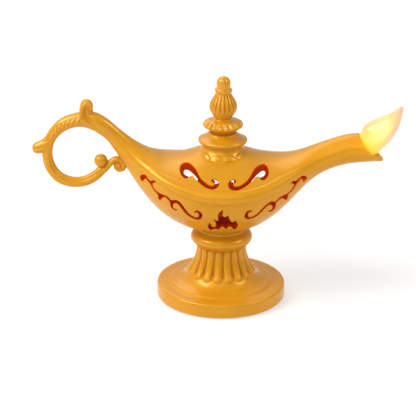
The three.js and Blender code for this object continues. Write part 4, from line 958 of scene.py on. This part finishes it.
def gadroons(theta, r, z):
    """Lobes on the ring, ribs on the bulb and notches on the beaded collar."""
    lobe = np.abs(np.sin(phase(theta, 18, 0.92) * np.pi))
    ring = step(62.1, 62.9, z) * np.where(z > 63.78, step(4.7, 6.3, r), 1.0) * (z < 66.0)
    dent = ring * (1 - lobe**1.1) ** 1.3
    r1, z = r - 0.6 * dent, z - np.where(z > 63.4, 0.36, 0.0) * dent
    p = np.abs(2 * phase(theta, 18, -0.37) - 1)
    rib = step(67.6, 69.6, z - 0.5 * p) * step(75.4, 74.4, z)
    r1 = r1 - 0.62 * rib * np.exp(-((1 - p) / 0.36) ** 2) * np.clip(r / 4.6, 0.45, 1.0)
    bead = step(75.45, 75.75, z) * step(77.0, 76.7, z)
    b = np.abs(np.sin(phase(theta, 12, 0.5) * np.pi))
    return r1 - 0.2 * bead * (1 - b**0.7), z


finial = lathe("finial_knob", profile([(0, 66.8, 1), (1.3, 66.8, 1), (1.3, 61.31, 1), (4.0, 61.31, 1), (4.12, 61.6), (4.28, 62.05), (4.6, 62.4), (5.3, 62.62), (6.1, 62.9), (6.75, 63.3), (7.08, 63.78), (6.98, 64.32), (6.55, 64.78),
                                  (5.5, 65.28), (4.2, 65.62), (3.35, 65.76), (2.98, 65.92), (2.87, 66.15), (3.05, 66.55), (3.5, 67.25), (4.15, 68.2), (4.65, 69.2), (4.87, 70.3), (4.72, 71.4), (4.25, 72.55), (3.6, 73.65),
                                  (3.0, 74.65), (2.68, 75.3), (2.66, 75.5, 1), (2.9, 75.62), (3.02, 75.95), (3.02, 76.5), (2.88, 76.85), (2.62, 76.98, 1), (2.4, 77.05), (2.36, 77.4), (2.42, 78.2), (2.43, 78.87),
                                  (2.35, 79.5), (2.1, 80.1), (1.72, 80.6), (1.2, 80.99), (0.6, 81.23), (0, 81.3)], 0.12), 324, gadroons)

# ---------------------------------------------------------------- flame, a hollow drop over the LED
AX, PERP = np.array([0.655, 0.756]), np.array([0.756, -0.655])
DROP = [(-4.0, 0.0, 0.0, 0.0), (-3.6, 0.2, 1.9, 1.5), (-2.6, 0.45, 3.4, 2.7), (-1.2, 0.5, 4.3, 3.4), (0.0, 0.46, 4.68, 3.7), (2.0, 0.22, 5.12, 4.1), (3.8, 0.07, 5.26, 4.3), (5.6, 0.3, 5.03, 4.25),
        (7.6, 0.5, 4.52, 3.95), (10.0, 0.75, 3.72, 3.25), (12.0, 0.84, 2.8, 2.5), (13.6, 0.74, 2.08, 1.9), (15.0, 0.48, 1.46, 1.35), (16.4, 0.1, 0.9, 0.85), (17.1, 0.03, 0.5, 0.5), (17.4, 0.0, 0.0, 0.0)]


def drop_shape(rows, sides=96, grow=0.0):
    c = resample(spline(rows, per=8), 0.2)
    a = np.linspace(0, 2 * np.pi, sides, endpoint=False)
    rings = []
    for s, p, hp, hy in c[1:-1]:
        o = np.array([50.9, 57.8]) + AX * s
        q = p + (max(hp, 0.02) + grow) * np.cos(a)
        rings.append(np.stack([o[0] + PERP[0] * q, (max(hy, 0.02) + grow) * np.sin(a), o[1] + PERP[1] * q], 1))
    return make("tool", *loft(rings))


CAVITY = [(-2.9, 0.0, 0.0, 0.0), (-2.6, 0.0, 1.3, 1.3), (-1.6, 0.0, 2.3, 2.2), (0.0, 0.1, 3.0, 2.8), (2.0, 0.1, 3.55, 3.1), (4.0, 0.1, 3.75, 3.15), (6.0, 0.25, 3.55, 3.0), (8.0, 0.4, 2.95, 2.5), (10.0, 0.45, 2.15, 1.8),
          (11.6, 0.45, 1.3, 1.1), (12.6, 0.45, 0.6, 0.5), (12.9, 0.45, 0.0, 0.0)]
flame = drop_shape(DROP)
flame.name = "flame_drop"
FLAME_BVH = BVHTree.FromPolygons([v.co[:] for v in flame.data.vertices], [p.vertices[:] for p in flame.data.polygons])
led_room = lathe("tool", np.array([[0, -1], [2.2, -1], [2.2, 1.3], [1.85, 1.3], [1.85, 3.7], [1.5, 4.8], [0.8, 5.4], [0, 5.5]], float), 48)
led_room.data.transform(Matrix.Translation((45.2, 0, 55.6)) @ Matrix.Rotation(math.radians(65), 4, "Y"))
boolean(flame, [drop_shape(CAVITY, 64), led_room])
boolean(lower, [drop_shape(DROP, 96, 0.12)])
core_index = [0 if FLAME_BVH.find_nearest(Vector(c))[3] < 0.05 else 1 for c in centres(flame.data)]

# ---------------------------------------------------------------- underside
base_plate = lathe("bottom_plate", profile([(0, 0.0, 1), (18.9, 0.0, 1), (19.15, 0.12, 1), (19.3, 0.28, 1), (19.6, 0.28, 1), (19.75, 0.12, 1), (20.0, 0.0, 1), (20.15, 0.05), (20.3, 0.2, 1), (20.3, 1.35, 1), (0, 1.35, 1)], 0.8), 160)
boolean(base_plate, [rod(8.85, -1, 3, 96, (-10.4, 0)), box(6.1, 12.9, -1.6, 1.6, -1, 3)] + [rod(1.2, -1, 3, 24, s) for s in SPOTS] + [rod(2.0, -1, 0.8, 32, s) for s in SPOTS])
# small marks at the switch: a bar for on, a ring for off
ring_mark = lathe("tool", np.array([[0.45, -0.2], [0.8, -0.2], [0.8, 0.2], [0.45, 0.2]], float), 32, None, True, (7.3, 3.2))
boolean(base_plate, [box(11.3, 12.0, 2.5, 3.9, -0.2, 0.2), ring_mark])

cap = lathe("coin_cap", profile([(0, 0.15, 1), (6.3, 0.15, 1), (6.45, 0.3, 1), (6.8, 0.3, 1), (6.95, 0.15, 1), (8.3, 0.15, 1), (8.5, 0.22), (8.6, 0.4, 1), (8.6, 1.35, 1), (0, 1.35, 1)], 0.6), 128, None, False, (-10.4, 0))
slot_tool = make("tool", *loft([np.array([(-10.4 + x, y, z) for x, y in ((-5.0, -0.55), (-4.6, -0.9), (4.6, -0.9), (5.0, -0.55), (5.0, 0.55), (4.6, 0.9), (-4.6, 0.9), (-5.0, 0.55))]) for z in (-0.5, 0.75)]))
boolean(cap, [slot_tool] + [rod(0.42, -0.5, 0.55, 20, (-10.4 + 7.65 * math.cos(k * math.pi / 12), 7.65 * math.sin(k * math.pi / 12))) for k in range(24)])

screws = []
for i, (x, y) in enumerate(SPOTS):
    s = lathe(f"bottom_screw_{i + 1}", profile([(0, 0.1, 1), (1.15, 0.1, 1), (1.45, 0.18), (1.65, 0.4, 1), (1.65, 0.65, 1), (0.85, 0.72, 1), (0.85, 1.4, 1), (0.7, 1.55, 1), (0.85, 1.7, 1), (0.7, 2.0, 1), (0.85, 2.15, 1),
                                              (0.7, 2.45, 1), (0.85, 2.6, 1), (0.7, 2.9, 1), (0.85, 3.05, 1), (0.7, 3.35, 1), (0.8, 3.5, 1), (0.45, 4.0, 1), (0, 4.3, 1)], 0.3), 32, None, False, (x, y))
    boolean(s, [box(x - 0.95, x + 0.95, y - 0.16, y + 0.16, -0.5, 0.45), box(x - 0.16, x + 0.16, y - 0.95, y + 0.95, -0.5, 0.45)])
    screws.append(s)

slider = box(9.9, 12.5, -1.3, 1.3, 0.3, 2.9, "slide_switch")
boolean(slider, [box(9.9 + 0.25 + 0.62 * k, 9.9 + 0.5 + 0.62 * k, -2, 2, 0.0, 0.62) for k in range(4)])

# ---------------------------------------------------------------- pieces on their bodies
finish(lower, "base", ["body_lower_shell"], [GOLD_BODY, INSIDE], 40, skin_index(lower))
finish(upper, "base", ["body_upper_shell"], [GOLD_BODY, INSIDE], 40, skin_index(upper))
finish(handle, "base", ["handle"], [GOLD_HANDLE], 50)
finish(pedestal, "base", ["pedestal"], [GOLD_TURNED, INSIDE], 35, (centres(pedestal.data)[:, 2] > 25.51).astype(int))
finish(collar, "base", ["stem_collar"], [GOLD_TURNED], 40)
finish(neck, "base", ["neck_collar"], [GOLD_TURNED], 50)
finish(lid, "lid", ["lid"], [GOLD_KNOB], 40)
finish(finial, "lid", ["finial"], [GOLD_KNOB], 50)
finish(flame, "base", ["flame"], [FLAME, CORE], 50, core_index)
finish(base_plate, "base", ["base_plate"], [RED], 30)
finish(cap, "battery_cap", ["battery_cap"], [RED], 30)
for i, s in enumerate(screws):
    finish(s, "base", [f"base_screw_{i + 1}"], [STEEL], 30)
finish(slider, "switch", ["switch_slider"], [WHITE], 30)

for names, mat in ((("stem_nut",), RED), (("led_socket",), WHITE), (("coin_cell", "finial_screw"), STEEL), (("contact_positive", "contact_negative"), NICKEL), (("switch_body",), BLACK), (("led",), LENS),
                   (("wire_positive",), WIRE_RED), (("wire_negative",), WIRE_BLACK)):
    for n in names:
        me = NODES[n].data
        me.materials.clear()
        me.materials.append(mat)

# ---------------------------------------------------------------- floor, light and camera
floor = make("floor", [(-3, -3, -0.0004), (3, -3, -0.0004), (3, 3, -0.0004), (-3, 3, -0.0004)], [(0, 1, 2, 3)])
fl = Nodes("floor")
fl.to("Base Color", fl.ramp(fl.noise(3, 3), [(0.3, (0.53, 0.53, 0.53)), (0.7, (0.55, 0.55, 0.55))]))
fl.to("Emission Color", fl.ramp(fl.noise(2, 3), [(0.3, (0.99, 0.99, 0.99)), (0.7, (1.0, 1.0, 1.0))]))
fl.set(Roughness=0.9, Specular_IOR_Level=0.1, Emission_Strength=0.44)
floor.data.materials.append(fl.mat)

world = bpy.data.worlds.new("studio")
SCENE.world = world
world.use_nodes = True
sky, bg = world.node_tree.nodes, world.node_tree.nodes["Background"]
bg.inputs["Color"].default_value = (1.0, 1.0, 1.0, 1.0)
way = sky.new("ShaderNodeVectorMath")
way.operation = "DOT_PRODUCT"
way.inputs[1].default_value = (-0.42, 0.50, 0.76)
soft = sky.new("ShaderNodeMapRange")
soft.inputs["From Min"].default_value, soft.inputs["From Max"].default_value = -0.9, 1.0
soft.inputs["To Min"].default_value, soft.inputs["To Max"].default_value = 0.16, 0.62
world.node_tree.links.new(sky.new("ShaderNodeTexCoord").outputs["Generated"], way.inputs[0])
world.node_tree.links.new(way.outputs["Value"], soft.inputs["Value"])
world.node_tree.links.new(soft.outputs[0], bg.inputs["Strength"])


def area(name, at, look, size, power, color=(1, 1, 1)):
    l = bpy.data.lights.new(name, "AREA")
    l.shape, l.size, l.energy, l.color = "DISK", size, power, color
    o = bpy.data.objects.new(name, l)
    o.location = at
    o.rotation_euler = (Vector(look) - Vector(at)).to_track_quat("-Z", "Y").to_euler()
    SCENE.collection.objects.link(o)
    return o


area("key", (-0.78, -0.30, 0.88), (0, 0, 0.04), 0.72, 10.4)
area("fill", (0.88, -0.22, 0.74), (0, 0, 0.04), 0.46, 3.3)
area("front", (-0.25, -0.95, 0.80), (0, 0, 0.04), 0.90, 2.3)
area("back", (-0.25, 0.85, 0.95), (0, 0, 0.04), 0.90, 2.4)
glow = bpy.data.lights.new("flame_glow", "POINT")
glow.energy, glow.color, glow.shadow_soft_size = 0.0022, (1.0, 0.62, 0.12), 0.002
glow_ob = bpy.data.objects.new("flame_glow", glow)
glow_ob.location = (0.0535, -0.0075, 0.0635)
SCENE.collection.objects.link(glow_ob)

cam = bpy.data.cameras.new("camera")
cam.lens, cam.sensor_width, cam.clip_start, cam.clip_end = 146.34, 36.0, 0.01, 20.0
cam_ob = bpy.data.objects.new("camera", cam)
cam_ob.matrix_world = Matrix.Translation((-0.00493, -0.55825, 0.25240)) @ Matrix.Rotation(math.radians(68.5), 4, "X") @ Matrix.Rotation(math.radians(0.6), 4, "Z")
SCENE.collection.objects.link(cam_ob)
SCENE.camera = cam_ob

SCENE.view_settings.view_transform = "Standard"
SCENE.view_settings.look = "None"
SCENE.view_settings.exposure = 0.0
